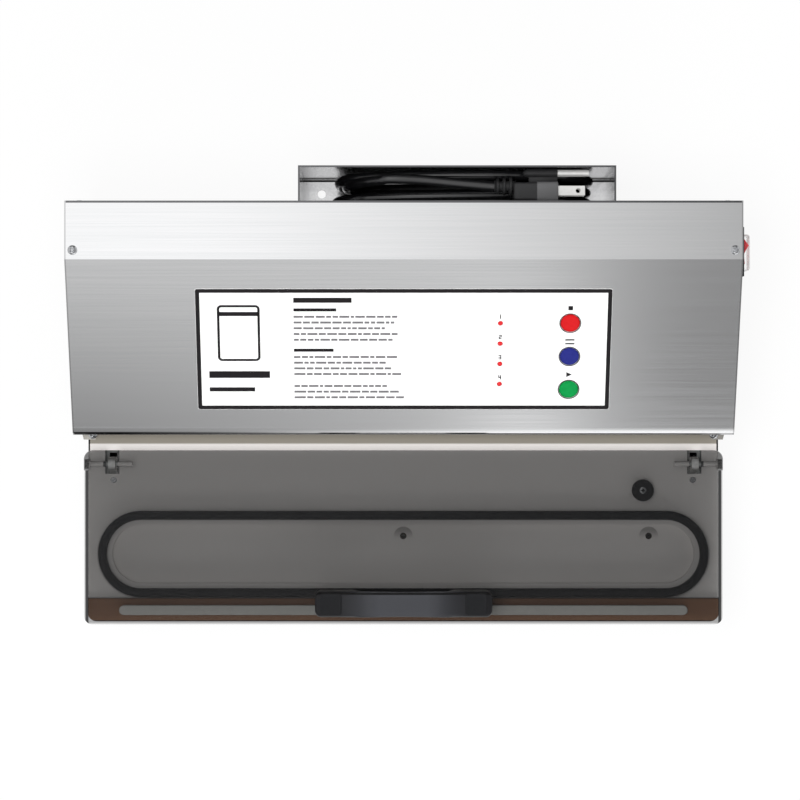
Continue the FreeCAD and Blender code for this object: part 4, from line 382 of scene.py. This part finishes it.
def rounded(half_x, half_y, radius, count=8):
    """Outline of a rounded rectangle: four quarter circles about the corner centres, joined by straight runs."""
    angle = np.linspace(0, np.pi / 2, count) + np.arange(4)[:, None] * np.pi / 2
    corner = np.array([(1, 1), (-1, 1), (-1, -1), (1, -1)])
    centre = corner * (half_x - radius, half_y - radius)
    points = centre[:, None] + radius * np.stack([np.cos(angle), np.sin(angle)], -1)
    return points.reshape(-1, 2)


def slab(half_x, half_y, radius, profile, count=8):
    """Rounded rectangles one above the other: each is the outline drawn in by an inset, at a height."""
    rings = []
    for inset, height in profile:
        flat = rounded(half_x - inset, half_y - inset, max(radius - inset, 0.01), count)
        rings.append(np.column_stack([flat, np.full(len(flat), height)]))
    return np.array(rings)


def facing(points, centre, normal, right=(1, 0, 0)):
    """Points moved so that their Z lies along the normal and their X as near as can be to the right."""
    up = np.array(normal, float) / np.linalg.norm(normal)
    across = np.array(right, float) - np.dot(right, up) * up
    across /= np.linalg.norm(across)
    turn = np.array([across, np.cross(up, across), up])
    return points @ turn + np.array(centre, float)


def piece(name, grids, look, body, stands_for=(), open_end=False):
    """An object from grids of rings, each with a flag that says whether it loops. Doubles merge, faces turn out."""
    points, quads, caps, base = [], [], [], 0
    for grid, loops in grids:
        rows, columns = grid.shape[:2]
        row, column = np.meshgrid(np.arange(rows if loops else rows - 1), np.arange(columns), indexing="ij")
        below, beside = (row + 1) % rows, (column + 1) % columns
        corners = [row * columns + column, row * columns + beside, below * columns + beside, below * columns + column]
        quads.append(np.stack(corners, -1).reshape(-1, 4) + base)
        ends = [] if loops else [0, rows - 1][int(open_end):]
        caps += [(np.arange(columns) + end * columns + base).tolist() for end in ends]
        points.append(grid.reshape(-1, 3) * MM)
        base += rows * columns
    mesh = bpy.data.meshes.new(name)
    mesh.from_pydata(np.concatenate(points).tolist(), [], np.concatenate(quads).tolist() + caps)
    shape = bmesh.new()
    shape.from_mesh(mesh)
    bmesh.ops.remove_doubles(shape, verts=shape.verts, dist=1e-6)
    bmesh.ops.recalc_face_normals(shape, faces=shape.faces)
    shape.to_mesh(mesh)
    shape.free()
    mesh.polygons.foreach_set("use_smooth", np.ones(len(mesh.polygons), bool))
    mesh.set_sharp_from_angle(angle=SHARP)
    mesh.materials.append(looks[look])
    made = bpy.data.objects.new(name, mesh)
    scene.collection.objects.link(made)
    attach(made, body)
    if stands_for:
        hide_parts(*stands_for)
    print(name, len(mesh.vertices), "points on", body)
    return made


print("a turned ring has rows, points and axes:", turned([(1, 0)]).shape)

# %% [markdown]
# ## The mains cord
# The cord leaves the back panel through an elbow near the bin's floor. It lies in the bin as a hank of upright loops
# that rises through three layers and ends in the plug on top. It is one smooth line: the route's few points at each
# end, and between them loops worked out from an angle. A loop is a squarish oval, x and z each being a cosine or
# sine raised to less than one, and no two loops have quite the same size, as in a hank pushed in by hand. A physics
# run could drop the cord into the bin, but a drawn line lies the same way each time.

# %% Cord
CORD_RADIUS = 3.3
LEAD = [(56.0, 131.4, 27.0), (37.4, 131.4, 27.0), (18.7, 131.4, 20.2), (0.1, 131.4, 20.2)]
TAIL = [(-11.0, 144.6, 123.4), (14.0, 143.6, 123.0), (38.0, 141.0, 123.0), (60.1, 139.2, 123.0)]
HANK_X, LOOP_STEP, SQUARENESS = 40.3, 22.5, 2 / 3


def oval(angle):
    """Across and along shares of a squarish oval: sine and cosine, each raised to two thirds with its sign kept."""
    wave = np.stack([np.sin(angle), np.cos(angle)])
    return np.sign(wave) * np.abs(wave) ** SQUARENESS


# degrees from the bottom of the hank towards the left, and at them half width, half height, floor and layer
turn_marks = [56, 180, 270, 450, 540, 630, 720, 810, 850, 920, 990, 1080, 1170, 1227]
half_widths = [79.6, 79.6, 86.0, 86.8, 86.8, 85.0, 85.0, 84.5, 86.0, 86.8, 86.8, 81.0, 79.5, 79.5]
half_heights = [39.3, 39.3, 45.0, 46.5, 46.5, 46.5, 46.5, 46.0, 47.0, 50.0, 48.0, 46.0, 50.0, 54.0]
floors = [20.2, 20.2, 14.0, 13.0, 13.0, 13.0, 13.0, 13.5, 13.0, 13.0, 13.0, 17.0, 20.2, 20.2]
layer_ys = [131.4, 131.4, 131.4, 131.4, 134.5, 138.6, 138.6, 144.5, 146.8, 147.5, 145.5, 145.0, 141.0, 143.5]
degrees = np.arange(turn_marks[0], turn_marks[-1], LOOP_STEP)
wide, high, floor_z, depth = (
    np.interp(degrees, turn_marks, values) for values in (half_widths, half_heights, floors, layer_ys)
)
share = oval(np.radians(degrees))
loops = np.column_stack([HANK_X - wide * share[0], depth, floor_z + high - high * share[1]])
route = np.concatenate([LEAD, loops, TAIL]) * MM

line = bpy.data.curves.new("power_cord", "CURVE")
line.dimensions = "3D"
spline = line.splines.new("NURBS")
spline.points.add(len(route) - 1)
spline.points.foreach_set("co", np.column_stack([route, np.ones(len(route))]).ravel())
spline.order_u = 3
spline.use_endpoint_u = True
spline.resolution_u = 6
line.bevel_depth = CORD_RADIUS * MM
line.bevel_resolution = 5
line.use_fill_caps = True
line.materials.append(looks["black_pvc"])
cord = bpy.data.objects.new("power_cord", line)
scene.collection.objects.link(cord)
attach(cord, "base")
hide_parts("power_cord_lead", "power_cord_hank", "power_cord_tail")
print("cord of", len(route), "control points, runs", round(np.linalg.norm(np.diff(route, axis=0), axis=1).sum(), 3))

# %% [markdown]
# ## The plug
# A moulded three-pin plug lies on the hank. Its neck has three ribs that let it bend, and the earth pin has a boss of
# its own. It could be carved from a block, but the real one is moulded along its length: the neck is a turned form
# lying along X, and the case a rounded rectangle carried along X whose front half stands a little prouder.

# %% Plug
PLUG_Z, NECK_Y, CASE_Y, WEB_Y, EARTH_Y = 123.0, 139.2, 135.3, 144.6, 147.9
GROOVE = 3.6
neck = [(0, 60.1), (GROOVE, 60.1), (4.1, 60.8)]
for start, rib in ((61.3, 5.3), (65.6, 5.9), (69.9, 6.4)):
    neck += [(GROOVE, start), (rib - 0.4, start + 0.2), (rib, start + 0.7), (rib, start + 1.6)]
    neck += [(rib - 0.4, start + 2.1), (GROOVE, start + 2.3), (GROOVE, start + 4.2)]
neck += [(4.6, 74.5), (0, 74.5)]
boss = [(0, 79.0), (1.2, 79.3), (2.2, 80.4), (2.8, 82.0), (3.0, 84.5), (3.0, 101.6), (2.6, 102.1), (0, 102.1)]
case = [(2.2, 72.6), (0.9, 73.2), (0.5, 74.4), (0.5, 86.6), (0.1, 87.2), (0.0, 88.0)]
case += [(0.0, 101.4), (0.3, 101.9), (1.2, 102.1)]
web = [(0.3, 83.0), (0.1, 83.3), (0.1, 101.5), (0.3, 101.9)]
along_x = dict(normal=(1, 0, 0), right=(0, 1, 0))
plug = piece(
    "mains_plug",
    [
        (facing(turned(neck), (0, NECK_Y, PLUG_Z), **along_x), False),
        (facing(slab(6.4, 12.9, 2.4, case), (0, CASE_Y, PLUG_Z), **along_x), False),
        (facing(slab(3.6, 1.2, 0.4, web), (0, WEB_Y, PLUG_Z), **along_x), False),
        (facing(turned(boss, 32), (0, EARTH_Y, PLUG_Z), **along_x), False),
    ],
    "plug_vinyl",
    "base",
    ["plug_body"],
)

# %% [markdown]
# ## Screws
# Pan-head screws hold the case. A head is a low dome. Its cross recess could be cut by a Boolean, but it is cleaner to
# lower every point that lies inside one of two crossed bars: height is a function of angle and radius on one grid.

# %% Pan-head screws
RING_SHARES = np.array([0, 0.06, 0.12, 0.18, 0.24, 0.32, 0.42, 0.5, 0.56, 0.62, 0.72, 0.84, 0.93, 0.98, 1.0])
RECESS_REACH, RECESS_HALF, RECESS_DEPTH = 0.58, 0.17, 0.5


def pan_screw(radius, height, shank, length):
    """Head and shank about Z, seat at zero: a round dome, less a cross-shaped well in its middle."""
    ring = radius * RING_SHARES
    grid = turned(np.column_stack([ring, ring * 0]), 64)
    x, y = np.abs(grid[..., 0]) / radius, np.abs(grid[..., 1]) / radius
    along, beside = np.maximum(x, y) / RECESS_REACH, np.minimum(x, y) / RECESS_HALF
    arm = np.minimum(along, 1) ** 6 + np.minimum(beside, 1) ** 6
    dome = 0.25 + 0.75 * np.sqrt(1 - 0.96 * RING_SHARES[:, None] ** 2)
    grid[..., 2] = height * (dome - RECESS_DEPTH * np.clip(1 - arm, 0, 1))
    foot = turned([(radius, 0), (shank, 0), (shank, -length), (0, -length)], 64)
    return np.concatenate([grid, foot])


UP, REAR, DOWN = (0, 0, 1), (0, 1, 0), (0, 0, -1)
SEATS = [((214.7 * way, 94.6, 175.0), UP) for way in (-1, 1)]
SEATS += [((208.9 * way, -25.4, 87.2), UP) for way in (-1, 1)]
SEATS += [((220.0 * way, y, 19.0), (way, 0, 0)) for way in (-1, 1) for y in (-16.8, 96.7)]
SEATS += [((212.8 * way, 126.7, z), REAR) for way in (-1, 1) for z in (40.0, 145.0)]
SEATS += [((x, 127.9, z), REAR) for x in (-63.4, 134.0) for z in (38.0, 114.0)]
HEAD = dict(radius=3.1, height=2.1, shank=1.9)
case_screw, bracket_screw = pan_screw(**HEAD, length=2.6), pan_screw(**HEAD, length=3.5)
screws = [(facing(case_screw, seat, normal, (0.8, 0.6, 0.3)), False) for seat, normal in SEATS]
screws += [(facing(bracket_screw, (195.0 * way, -56.1, 82.5), DOWN), False) for way in (-1, 1)]
piece("pan_head_screws", screws, "screw_steel", "base", ["case_screws"])

# %% [markdown]
# ## Rubber feet
# Four moulded feet, dished underneath so that the screw's head stays off the table. A plain cylinder would do for the
# eye from above, but a profile turned about Z and looped back to its start also gives the hollow and the soft rim.

# %% Feet
foot_profile = [(2.1, 5.0), (4.1, 5.0), (4.2, 0.7), (4.9, 0.0), (9.3, 0.0), (9.9, 0.3), (10.1, 1.0)]
foot_profile += [(10.9, 9.2), (10.6, 9.9), (10.2, 10.0), (2.1, 10.0)]
foot = turned(foot_profile)
FOOT_PLACES = [(188.0 * way, y, 0.0) for way in (-1, 1) for y in (-126.8, 102.7)]
piece("moulded_feet", [(foot + place, True) for place in FOOT_PLACES], "black_rubber", "base", ["rubber_feet"])

# %% [markdown]
# ## Gasket and pressure pad
# The lid's gasket is a soft black ring in a groove, rounded where it meets the deck. Its section, a squarish oval, is
# carried round a racetrack: two half circles and two straight runs. A bevelled curve could draw it, but a grid keeps
# the section upright. The pad that presses the bag on the hot wire is a pale silicone strip with rounded ends.

# %% Gasket and pad
GASKET_Y, GASKET_Z, GASKET_RUN, GASKET_BEND = -105.75, 91.75, 176.1, 26.0
GASKET_WIDTH, GASKET_HEIGHT, PAD_Y = 6.0, 10.8, -143.2
angle = np.concatenate([np.linspace(-90, 90, 33), np.linspace(90, 270, 33)]) * np.pi / 180
outward = np.stack([np.cos(angle), np.sin(angle)], -1)
centres = np.column_stack([np.repeat((GASKET_RUN, -GASKET_RUN), 33), np.full(66, GASKET_Y)])
middle = outward * GASKET_BEND + centres
section = oval(np.linspace(0, 2 * np.pi, 28, endpoint=False))
spread = section[0] * GASKET_WIDTH / 2
ring = middle[:, None] + outward[:, None] * spread[:, None]
level = np.broadcast_to(GASKET_Z + section[1] * GASKET_HEIGHT / 2, ring.shape[:2])
gasket = np.concatenate([ring, level[..., None]], -1)
piece("lid_seal_ring", [(gasket, True)], "black_rubber", "lid_body", ["lid_gasket"])

pad_profile = [(1.1, 90.3), (0.4, 90.5), (0.0, 91.2), (0.0, 96.8), (0.3, 97.1)]
pad = slab(190.5, 3.2, 3.1, pad_profile, 12) + (0, PAD_Y, 0)
piece("pressure_pad", [(pad, False)], "grey_silicone", "lid_body", ["seal_pad"])

# %% [markdown]
# ## The lid's handle
# A moulded bow: two feet, a grip between them and a square cap over each screw. Three joined boxes would show their
# joints, so it is one rounded rectangle carried along X, whose width, top and underside are functions of X: the ends
# are rounded in plan, the top rises a little over the grip, and the underside drops steeply from grip to feet.

# %% Handle
HANDLE_Y, HALF_LENGTH, HALF_WIDTH = -137.2, 58.5, 8.55
FOOT_Z, GRIP_UNDER, END_TOP, GRIP_TOP = 106.3, 129.3, 136.9, 140.3
END_ROUND, SLANT_START, SLANT_END, CAP_X = 4.0, 28.0, 34.5, 48.0


def ease(value, low, high):
    """Smooth step: nought below low, one above high, three squares less two cubes between."""
    t = np.clip((value - low) / (high - low), 0, 1)
    return t * t * (3 - 2 * t)


half = np.concatenate([np.linspace(0, 26, 9), np.linspace(27, 36, 13), np.linspace(38, 54, 7)])
half = np.concatenate([half, HALF_LENGTH - END_ROUND * (1 - np.sin(np.linspace(0.15, np.pi / 2, 9)))])
x = np.concatenate([-half[:0:-1], half])
past = np.clip(np.abs(x) - (HALF_LENGTH - END_ROUND), 0, END_ROUND)
bend = END_ROUND - np.sqrt(END_ROUND ** 2 - past ** 2)
width = HALF_WIDTH - 0.5 * (1 - ease(np.abs(x), 0, 38)) - bend
top = GRIP_TOP - (GRIP_TOP - END_TOP) * ease(np.abs(x), 22, 40) - 0.25 * bend
under = GRIP_UNDER - (GRIP_UNDER - FOOT_Z) * ease(np.abs(x), SLANT_START, SLANT_END)
flat = rounded(1, 1, 0.3, 7)
grip = np.stack(
    [
        np.broadcast_to(x[:, None], (len(x), len(flat))),
        HANDLE_Y + width[:, None] * flat[:, 0],
        (top + under)[:, None] / 2 + (top - under)[:, None] / 2 * flat[:, 1],
    ],
    -1,
)
piece("moulded_handle", [(grip, False)], "nylon_painted_sheen", "lid_body", ["lid_handle"])

cap_profile = [(0.0, 134.8), (0.0, 136.8), (0.25, 137.15), (0.7, 137.3), (1.3, 137.2), (2.2, 137.15)]
cap = slab(7.25, 7.25, 2.0, cap_profile)
piece(
    "screw_caps",
    [(cap + (CAP_X * way, HANDLE_Y, 0), False) for way in (-1, 1)],
    "black_nylon",
    "lid_body",
    ["handle_caps"],
)

# %% [markdown]
# ## Buttons and lamps
# The slope carries three domed keys and four small lamps. They are turned forms that stand square to the slope. They
# could be placed by X, Y and Z, but a place on the panel, X and the distance down from the fold at its top, is what a
# maker would measure.

# %% Buttons and lamps
SLOPE = math.radians(27.946)
PANEL_UP = np.array((0, -math.sin(SLOPE), math.cos(SLOPE)))
PANEL_DOWN = np.array((0, -math.cos(SLOPE), -math.sin(SLOPE)))
FOLD = np.array((0, 88.8, 175.0))
KEY_X, LAMP_X = 109.0, 63.3


def on_panel(points, across=0.0, down=0.0):
    """Points drawn flat, Z standing off the panel and Y up the slope, moved to their place on it."""
    return facing(points, FOLD + (across, 0, 0) + PANEL_DOWN * down, PANEL_UP)


key = [(0, 1.4), (2.6, 1.38), (4.4, 1.3), (5.3, 1.17), (5.8, 0.98), (6.1, 0.7), (6.2, 0.4), (6.2, -1.25)]
key += [(8.0, -1.25), (8.1, -1.4), (8.1, -2.5), (8.0, -2.6), (1.8, -2.6), (1.8, -7.4), (0, -7.4)]
KEYS = (("stop", "red", 46.2), ("seal", "blue", 70.6), ("start", "green", 95.0))
for name, colour, down in KEYS:
    grid = on_panel(turned(key, 64), KEY_X, down)
    piece(name + "_key", [(grid, False)], colour + "_button", name + "_button_body", [name + "_button"])

lamp = [(0, 1.3), (0.6, 1.24), (1.1, 1.02), (1.45, 0.7), (1.65, 0.3), (1.65, -10.6), (0, -10.6)]
LAMPS_DOWN = (46.3, 61.2, 76.1, 91.0)
lamps = [(on_panel(turned(lamp, 32), LAMP_X, down), False) for down in LAMPS_DOWN]
piece("lamp_windows", lamps, "red_lens", "base", ["indicator_lenses"])

# %% [markdown]
# ## The fold at the foot of the slope
# The cover's sheet is folded down over a round bar, so the eye meets a bright or dark line along the slope's foot.
# A bevel on the CAD sheet could round it, but that sheet isn't changed here. The fold is a strip of one section: a bend
# of 4 mm radius that leaves the slope smoothly and ends upright, closed by a line inside the sheet. The same section is
# carried along X.

# %% Fold
FOLD_RADIUS, FOLD_FRONT, LIP_LOW, LIP_INSIDE, COVER_HALF = 4.0, -25.5, 100.0, -24.0, 219.9
FOOT = np.array((-24.3, 115.0))
SKIN, RUN_OUT, BURIED = 0.05, 3.0, 0.3
outward, uphill = PANEL_UP[1:], -PANEL_DOWN[1:]
centre_y = FOLD_FRONT + FOLD_RADIUS
centre_z = FOOT[1] + (SKIN - FOLD_RADIUS - outward[0] * (centre_y - FOOT[0])) / outward[1]
bend = np.linspace(np.pi / 2 + SLOPE, np.pi, 13)
arc = np.column_stack([centre_y + FOLD_RADIUS * np.cos(bend), centre_z + FOLD_RADIUS * np.sin(bend)])
upper = arc[0] + RUN_OUT * uphill
lip = [(FOLD_FRONT, LIP_LOW), (LIP_INSIDE, LIP_LOW), (LIP_INSIDE, FOOT[1] - 2)]
flat = np.array([upper, *arc, *lip, upper - BURIED * outward])
stations = np.linspace(-COVER_HALF, COVER_HALF, 23)
fold = np.array([np.column_stack([np.full(len(flat), x), flat]) for x in stations])
piece("front_fold", [(fold, False)], "cover_steel", "base")

# %% [markdown]
# ## Switch boot and lid switch
# A clear vinyl boot keeps splashes off the rocker. A solid block would look like glass, so it is a rounded rectangle
# that shrinks a little as it rises, left open at its foot and given a thin wall. The lid switch's rubber cap is held
# by a small screw in its middle, from the same function as the case's screws.

# %% Boot and cap screw
boot_profile = [(0.0, 221.8), (0.0, 224.4), (0.3, 225.3), (0.9, 225.8), (1.8, 226.0), (3.2, 226.05)]
SWITCH_Y, SWITCH_Z, BOOT_WALL = 93.8, 150.0, 0.5
CAP_SCREW = (160.9, -63.0, 93.1)
boot = facing(slab(11.9, 9.3, 2.6, boot_profile), (0, SWITCH_Y, SWITCH_Z), **along_x)
boot_piece = piece("splash_boot", [(boot, False)], "clear_vinyl", "base", ["switch_boot"], open_end=True)
wall = boot_piece.modifiers.new("wall", "SOLIDIFY")
wall.thickness = BOOT_WALL * MM
wall.offset = -1

cap_screw = pan_screw(2.6, 1.1, 1.2, 2.0) + CAP_SCREW
piece("cap_screw", [(cap_screw, False)], "screw_steel", "plunger_body")

# %% [markdown]
# ## The printed panel
# The film is printed with a black frame, a ring round each key and generic marks: a plain bag, bars and rows of
# dashes, a square and a triangle for the keys and numbers for the lamps. A picture on the film could carry them, but
# ink is a real layer with crisp edges, so each mark is a thin closed slab.

# %% Ink
INK_LOW, INK_TOP = 0.4, 0.54
FILM_HALF, FILM_TOP, FILM_END = 136.1, 21.2, 110.0
looks["ink"] = finish("screen_ink", ("#171517", "#1E1B1D"), 1.0, (0.5, 0.6), 0.002, Specular_IOR_Level=0.2)
looks["grey_ink"] = finish("grey_ink", ("#6C6B6D", "#7A797B"), 1.0, (0.5, 0.6), 0.002, Specular_IOR_Level=0.2)


def ink_bar(left, right, down, height, radius=0.1):
    """A bar of ink between two X, at a distance down the panel: a rounded rectangle at two heights."""
    half = (right - left) / 2, height / 2
    rings = slab(*half, min(radius, *half), [(0, INK_LOW), (0, INK_TOP)], 4)
    return on_panel(rings, (left + right) / 2, down), False


def ink_frame(left, right, top, bottom, line, radius):
    """A rounded frame of ink: an outline, drawn in by the line's width, looped round its four edges."""
    half = (right - left) / 2, (bottom - top) / 2
    rings = slab(*half, radius, [(0, INK_LOW), (0, INK_TOP), (line, INK_TOP), (line, INK_LOW)])
    return on_panel(rings, (left + right) / 2, (top + bottom) / 2), True


def ink_shape(outline, across, down):
    """A filled outline of X and Y at two heights."""
    flat = np.array(outline, float)
    rings = [np.column_stack([flat, np.full(len(flat), height)]) for height in (INK_LOW, INK_TOP)]
    return on_panel(np.array(rings), across, down), False


print("ink stands", INK_TOP, "mm off the panel")

# %% [markdown]
# ## Frame, rings and marks
# The frame and the rings are outlines that loop back on themselves, and the bars are rounded slabs. All of them could
# be objects of their own, but one printing pass makes them on the real film, so they are one piece.

# %% Frame, key rings and marks
MARGIN, FRAME_LINE, RING_INSIDE, RING_OUTSIDE = 0.15, 2.75, 6.55, 7.15
BAG_LEFT, BAG_RIGHT, ROW_LEFT = -122.0, -94.0, -72.0
film_edges = -FILM_HALF + MARGIN, FILM_HALF - MARGIN, FILM_TOP + MARGIN, FILM_END - MARGIN
marks = [ink_frame(*film_edges, FRAME_LINE, 1.4)]
ring_section = [(RING_INSIDE, INK_LOW), (RING_INSIDE, INK_TOP), (RING_OUTSIDE, INK_TOP), (RING_OUTSIDE, INK_LOW)]
marks += [(on_panel(turned(ring_section, 64), KEY_X, down), True) for _, _, down in KEYS]
marks.append(ink_bar(KEY_X - 1.5, KEY_X + 1.5, 35.2, 3.0))
marks += [ink_bar(KEY_X - 3.0, KEY_X + 3.0, down, 1.0) for down in (58.4, 61.2)]
marks.append(ink_shape([(-1.8, 1.8), (-1.8, -1.8), (1.9, 0)], KEY_X, 84.0))
marks.append(ink_frame(BAG_LEFT, BAG_RIGHT, 33.0, 74.0, 1.6, 3.0))
# left and right end, distance down and height of each bar
BARS = [(BAG_LEFT, BAG_RIGHT, 39.5, 3.0), (-128.0, -88.0, 84.0, 5.0), (-128.0, -98.0, 95.0, 3.0)]
BARS += [(ROW_LEFT, -34.0, 29.5, 3.6), (ROW_LEFT, -44.0, 36.5, 2.2), (ROW_LEFT, -46.0, 66.0, 2.2)]
marks += [ink_bar(*bar) for bar in BARS]

# each number is a few strokes of a three by five square
STROKES = {
    "1": [(1, 0, 2, 5)],
    "2": [(0, 4, 3, 5), (2, 2, 3, 4), (0, 2, 2, 3), (0, 0, 1, 2), (1, 0, 3, 1)],
    "3": [(0, 4, 3, 5), (2, 0, 3, 4), (0, 2, 2, 3), (0, 0, 2, 1)],
    "4": [(0, 2, 1, 5), (2, 0, 3, 5), (1, 2, 2, 3)],
}
DOT, NUMBER_RISE = 0.62, 3.4
for number, down in zip("1234", LAMPS_DOWN):
    for left, low, right, high in STROKES[number]:
        box = [(left, low), (right, low), (right, high), (left, high)]
        marks.append(ink_shape((np.array(box) - (1.5, 0)) * DOT, LAMP_X, down - NUMBER_RISE))
piece("panel_print", marks, "ink", "base")

# %% [markdown]
# ## Rows of dashes
# Twelve rows of short grey dashes fill the middle of the film. Even dashes would look like a ruler, so their lengths
# are drawn at random, from a fixed start so that every run prints the same film.

# %% Rows of dashes
ROWS_DOWN = (41.5, 45.7, 49.9, 54.1, 58.3, 71.0, 75.2, 79.4, 83.6, 92.5, 96.7, 100.9)
DASH_HEIGHT, DASH_GAP = 1.5, 0.9
chance = np.random.default_rng(7)
dashes = []
for down in ROWS_DOWN:
    ends = ROW_LEFT + np.cumsum(chance.uniform(3.0, 8.0, 12))
    starts = np.concatenate([[ROW_LEFT], ends[:-1] + DASH_GAP])
    limit = chance.uniform(-12.0, 20.0)
    dashes += [ink_bar(left, right, down, DASH_HEIGHT) for left, right in zip(starts, ends) if right < limit]
piece("panel_dashes", dashes, "grey_ink", "base")

# %% [markdown]
# ## The room
# Polished steel shows the room more than itself, so the room is drawn with care: bright overhead on the left and dimmer
# to the right, which is what shades the steel in the photograph, with a pale front and a window low down on three
# sides. A photographed room could be wrapped round the scene, but a few spans of direction are enough and need no
# picture. Each span is a brightness that passes from one value to another while a direction does.

# %% Room
SOFT_LIGHT, FRONT_TOP = 0.44, 0.73
room = bpy.data.worlds.new("studio_room")
scene.world = room
room.use_nodes = True
tree = room.node_tree
path = add(tree, "LightPath", {})
to_right, to_rear, upward = add(tree, "SeparateXYZ", (add(tree, "TexCoord", {})["Generated"],))
aside = add(tree, "Math", (to_right,), operation="ABSOLUTE")[0]
SPANS = {
    # overhead: bright on the left, dimmer to the right and far to the left
    "overhead": (to_right, -0.045, 0.13, 1.18, 0.4),
    "far_left": (to_right, -0.2, -0.5, 1.0, 0.62),
    # in front: pale above, darker low on the left, with one lamp's streak right of the middle
    "front": (to_right, -0.09, 0.02, 0.24, 0.46),
    "streak": (to_right, 0.016, 0.038, 0.0, 0.6),
    "streak_end": (to_right, 0.042, 0.066, 1.0, 0.0),
    "front_high": (upward, 0.555, 0.593),
    "front_right": (to_right, 0.04, 0.082, 1.0, 0.41),
    "high": (upward, 0.66, 0.8),
    # near the horizon it is dark, apart from a window in front, from the middle to the right, and one on either side
    "horizon": (upward, 0.05, 0.5, 0.3, 1.0),
    "window": (to_right, -0.05, 0.03, 0.2, 1.3),
    "window_head": (upward, 0.545, 0.525),
    "window_sill": (upward, -0.1, 0.1),
    "window_front": (to_rear, -0.5, -0.7),
    "side_window": (aside, 0.5, 0.6, 0.0, 0.8),
    "side_sill": (upward, 0.0, 0.1),
    "side_head": (upward, 0.6, 0.5),
}
glow = {name: add(tree, "MapRange", span)[0] for name, span in SPANS.items()}
JOINS = [("overhead", "MULTIPLY", "far_left"), ("streak", "MULTIPLY", "streak_end"), ("front", "ADD", "streak")]
JOINS += [("window", "MULTIPLY", "window_" + part) for part in ("head", "sill", "front")]
JOINS += [("side_window", "MULTIPLY", "side_" + part) for part in ("sill", "head")]
for name, operation, other in JOINS:
    glow[name] = add(tree, "Math", (glow[name], glow[other]), operation=operation)[0]
front = add(tree, "Mix", {SHARE: glow["front_high"], NUMBER_A: glow["front"], NUMBER_B: FRONT_TOP})[0]
front = add(tree, "Math", (front, glow["front_right"]), operation="MULTIPLY")[0]
mirrored = add(tree, "Mix", {SHARE: glow["high"], NUMBER_A: front, NUMBER_B: glow["overhead"]})[0]
for operation, other in (("MULTIPLY", "horizon"), ("MAXIMUM", "window"), ("MAXIMUM", "side_window")):
    mirrored = add(tree, "Math", (mirrored, glow[other]), operation=operation)[0]
# reflections see all this, other surfaces an even light, and the camera plain white
soft = add(tree, "Mix", {SHARE: path["Is Glossy Ray"], NUMBER_A: SOFT_LIGHT, NUMBER_B: mirrored})[0]
seen = add(tree, "Math", (path["Is Camera Ray"], path["Is Transmission Ray"]), operation="MAXIMUM")[0]
strength = add(tree, "Mix", {SHARE: seen, NUMBER_A: soft, NUMBER_B: 1.0})[0]
back = tree.nodes["Background"]
back.inputs["Color"].default_value = srgb("#FFFFFF")
tree.links.new(strength, back.inputs["Strength"])
print("room", room.name, "of", len(SPANS), "spans")

# %% [markdown]
# ## The lamps
# One softbox hangs overhead and a long strip light stands in front, which shades the deck behind the gasket. Small
# lamps would throw a hard shadow of the handle. Both are hidden from the camera and from reflections, which see the
# room.

# %% Lamps
AIM = (0, 0, 0.1)
# place, width and depth in metres, power in watts
LAMPS = {
    "softbox_overhead": ((-0.2, -0.1, 2.0), (0.8, 0.5), 25),
    "strip_light_front": ((0.3, -1.5, 1.4), (2.4, 0.5), 12),
}
for name, (place, (wide, deep), power) in LAMPS.items():
    lamp = bpy.data.lights.new(name, "AREA")
    lamp.shape = "RECTANGLE"
    lamp.size, lamp.size_y, lamp.energy = wide, deep, power
    holder = bpy.data.objects.new(name, lamp)
    holder.location = place
    aim = np.array(AIM) - place
    holder.rotation_euler = (math.acos(-aim[2] / np.linalg.norm(aim)), 0, math.atan2(aim[1], aim[0]) - math.pi / 2)
    holder.visible_camera = False
    holder.visible_glossy = False
    scene.collection.objects.link(holder)
print("lamps:", ", ".join(LAMPS))

# %% [markdown]
# ## The floor
# White paper that keeps a faint shadow: a matt surface, most of which glows evenly for the camera so that it stays as
# white as the background. A lit floor alone would turn grey at its edges. Steel shows the paper a little grey, which
# sets the case off from it.

# %% Floor
EVEN_SHARE, IN_STEEL, REACH, SQUARES = 0.9, 0.6, 4.0, 8
paper = bpy.data.materials.new("white_paper")
paper.use_nodes = True
tree = paper.node_tree
path = add(tree, "LightPath", {})
seen = add(tree, "Math", (path["Is Camera Ray"], path["Is Glossy Ray"]), operation="MAXIMUM")[0]
seen = add(tree, "Math", (seen, path["Is Transmission Ray"]), operation="MAXIMUM")[0]
evened = add(tree, "Math", (seen, EVEN_SHARE), operation="MULTIPLY")[0]
matt = add(tree, "BsdfDiffuse", {"Color": srgb("#F8F8F8")})[0]
bright = add(tree, "Mix", {SHARE: path["Is Glossy Ray"], NUMBER_A: 1.0, NUMBER_B: IN_STEEL})[0]
white = add(tree, "Emission", {"Color": srgb("#FFFFFF"), "Strength": bright})[0]
surface = add(tree, "MixShader", (evened, matt, white))[0]
tree.links.new(surface, tree.nodes["Material Output"].inputs["Surface"])
reach = np.linspace(-REACH, REACH, SQUARES + 1)
across, along = np.meshgrid(reach, reach, indexing="ij")
points = np.stack([across, along, np.zeros_like(across)], -1).reshape(-1, 3)
row, column = np.meshgrid(np.arange(SQUARES), np.arange(SQUARES), indexing="ij")
first = row * (SQUARES + 1) + column
quads = np.stack([first, first + SQUARES + 1, first + SQUARES + 2, first + 1], -1).reshape(-1, 4)
mesh = bpy.data.meshes.new("paper_floor")
mesh.from_pydata(points.tolist(), [], quads.tolist())
mesh.materials.append(paper)
paper_floor = bpy.data.objects.new("paper_floor", mesh)
scene.collection.objects.link(paper_floor)
print("floor of", len(quads), "squares")
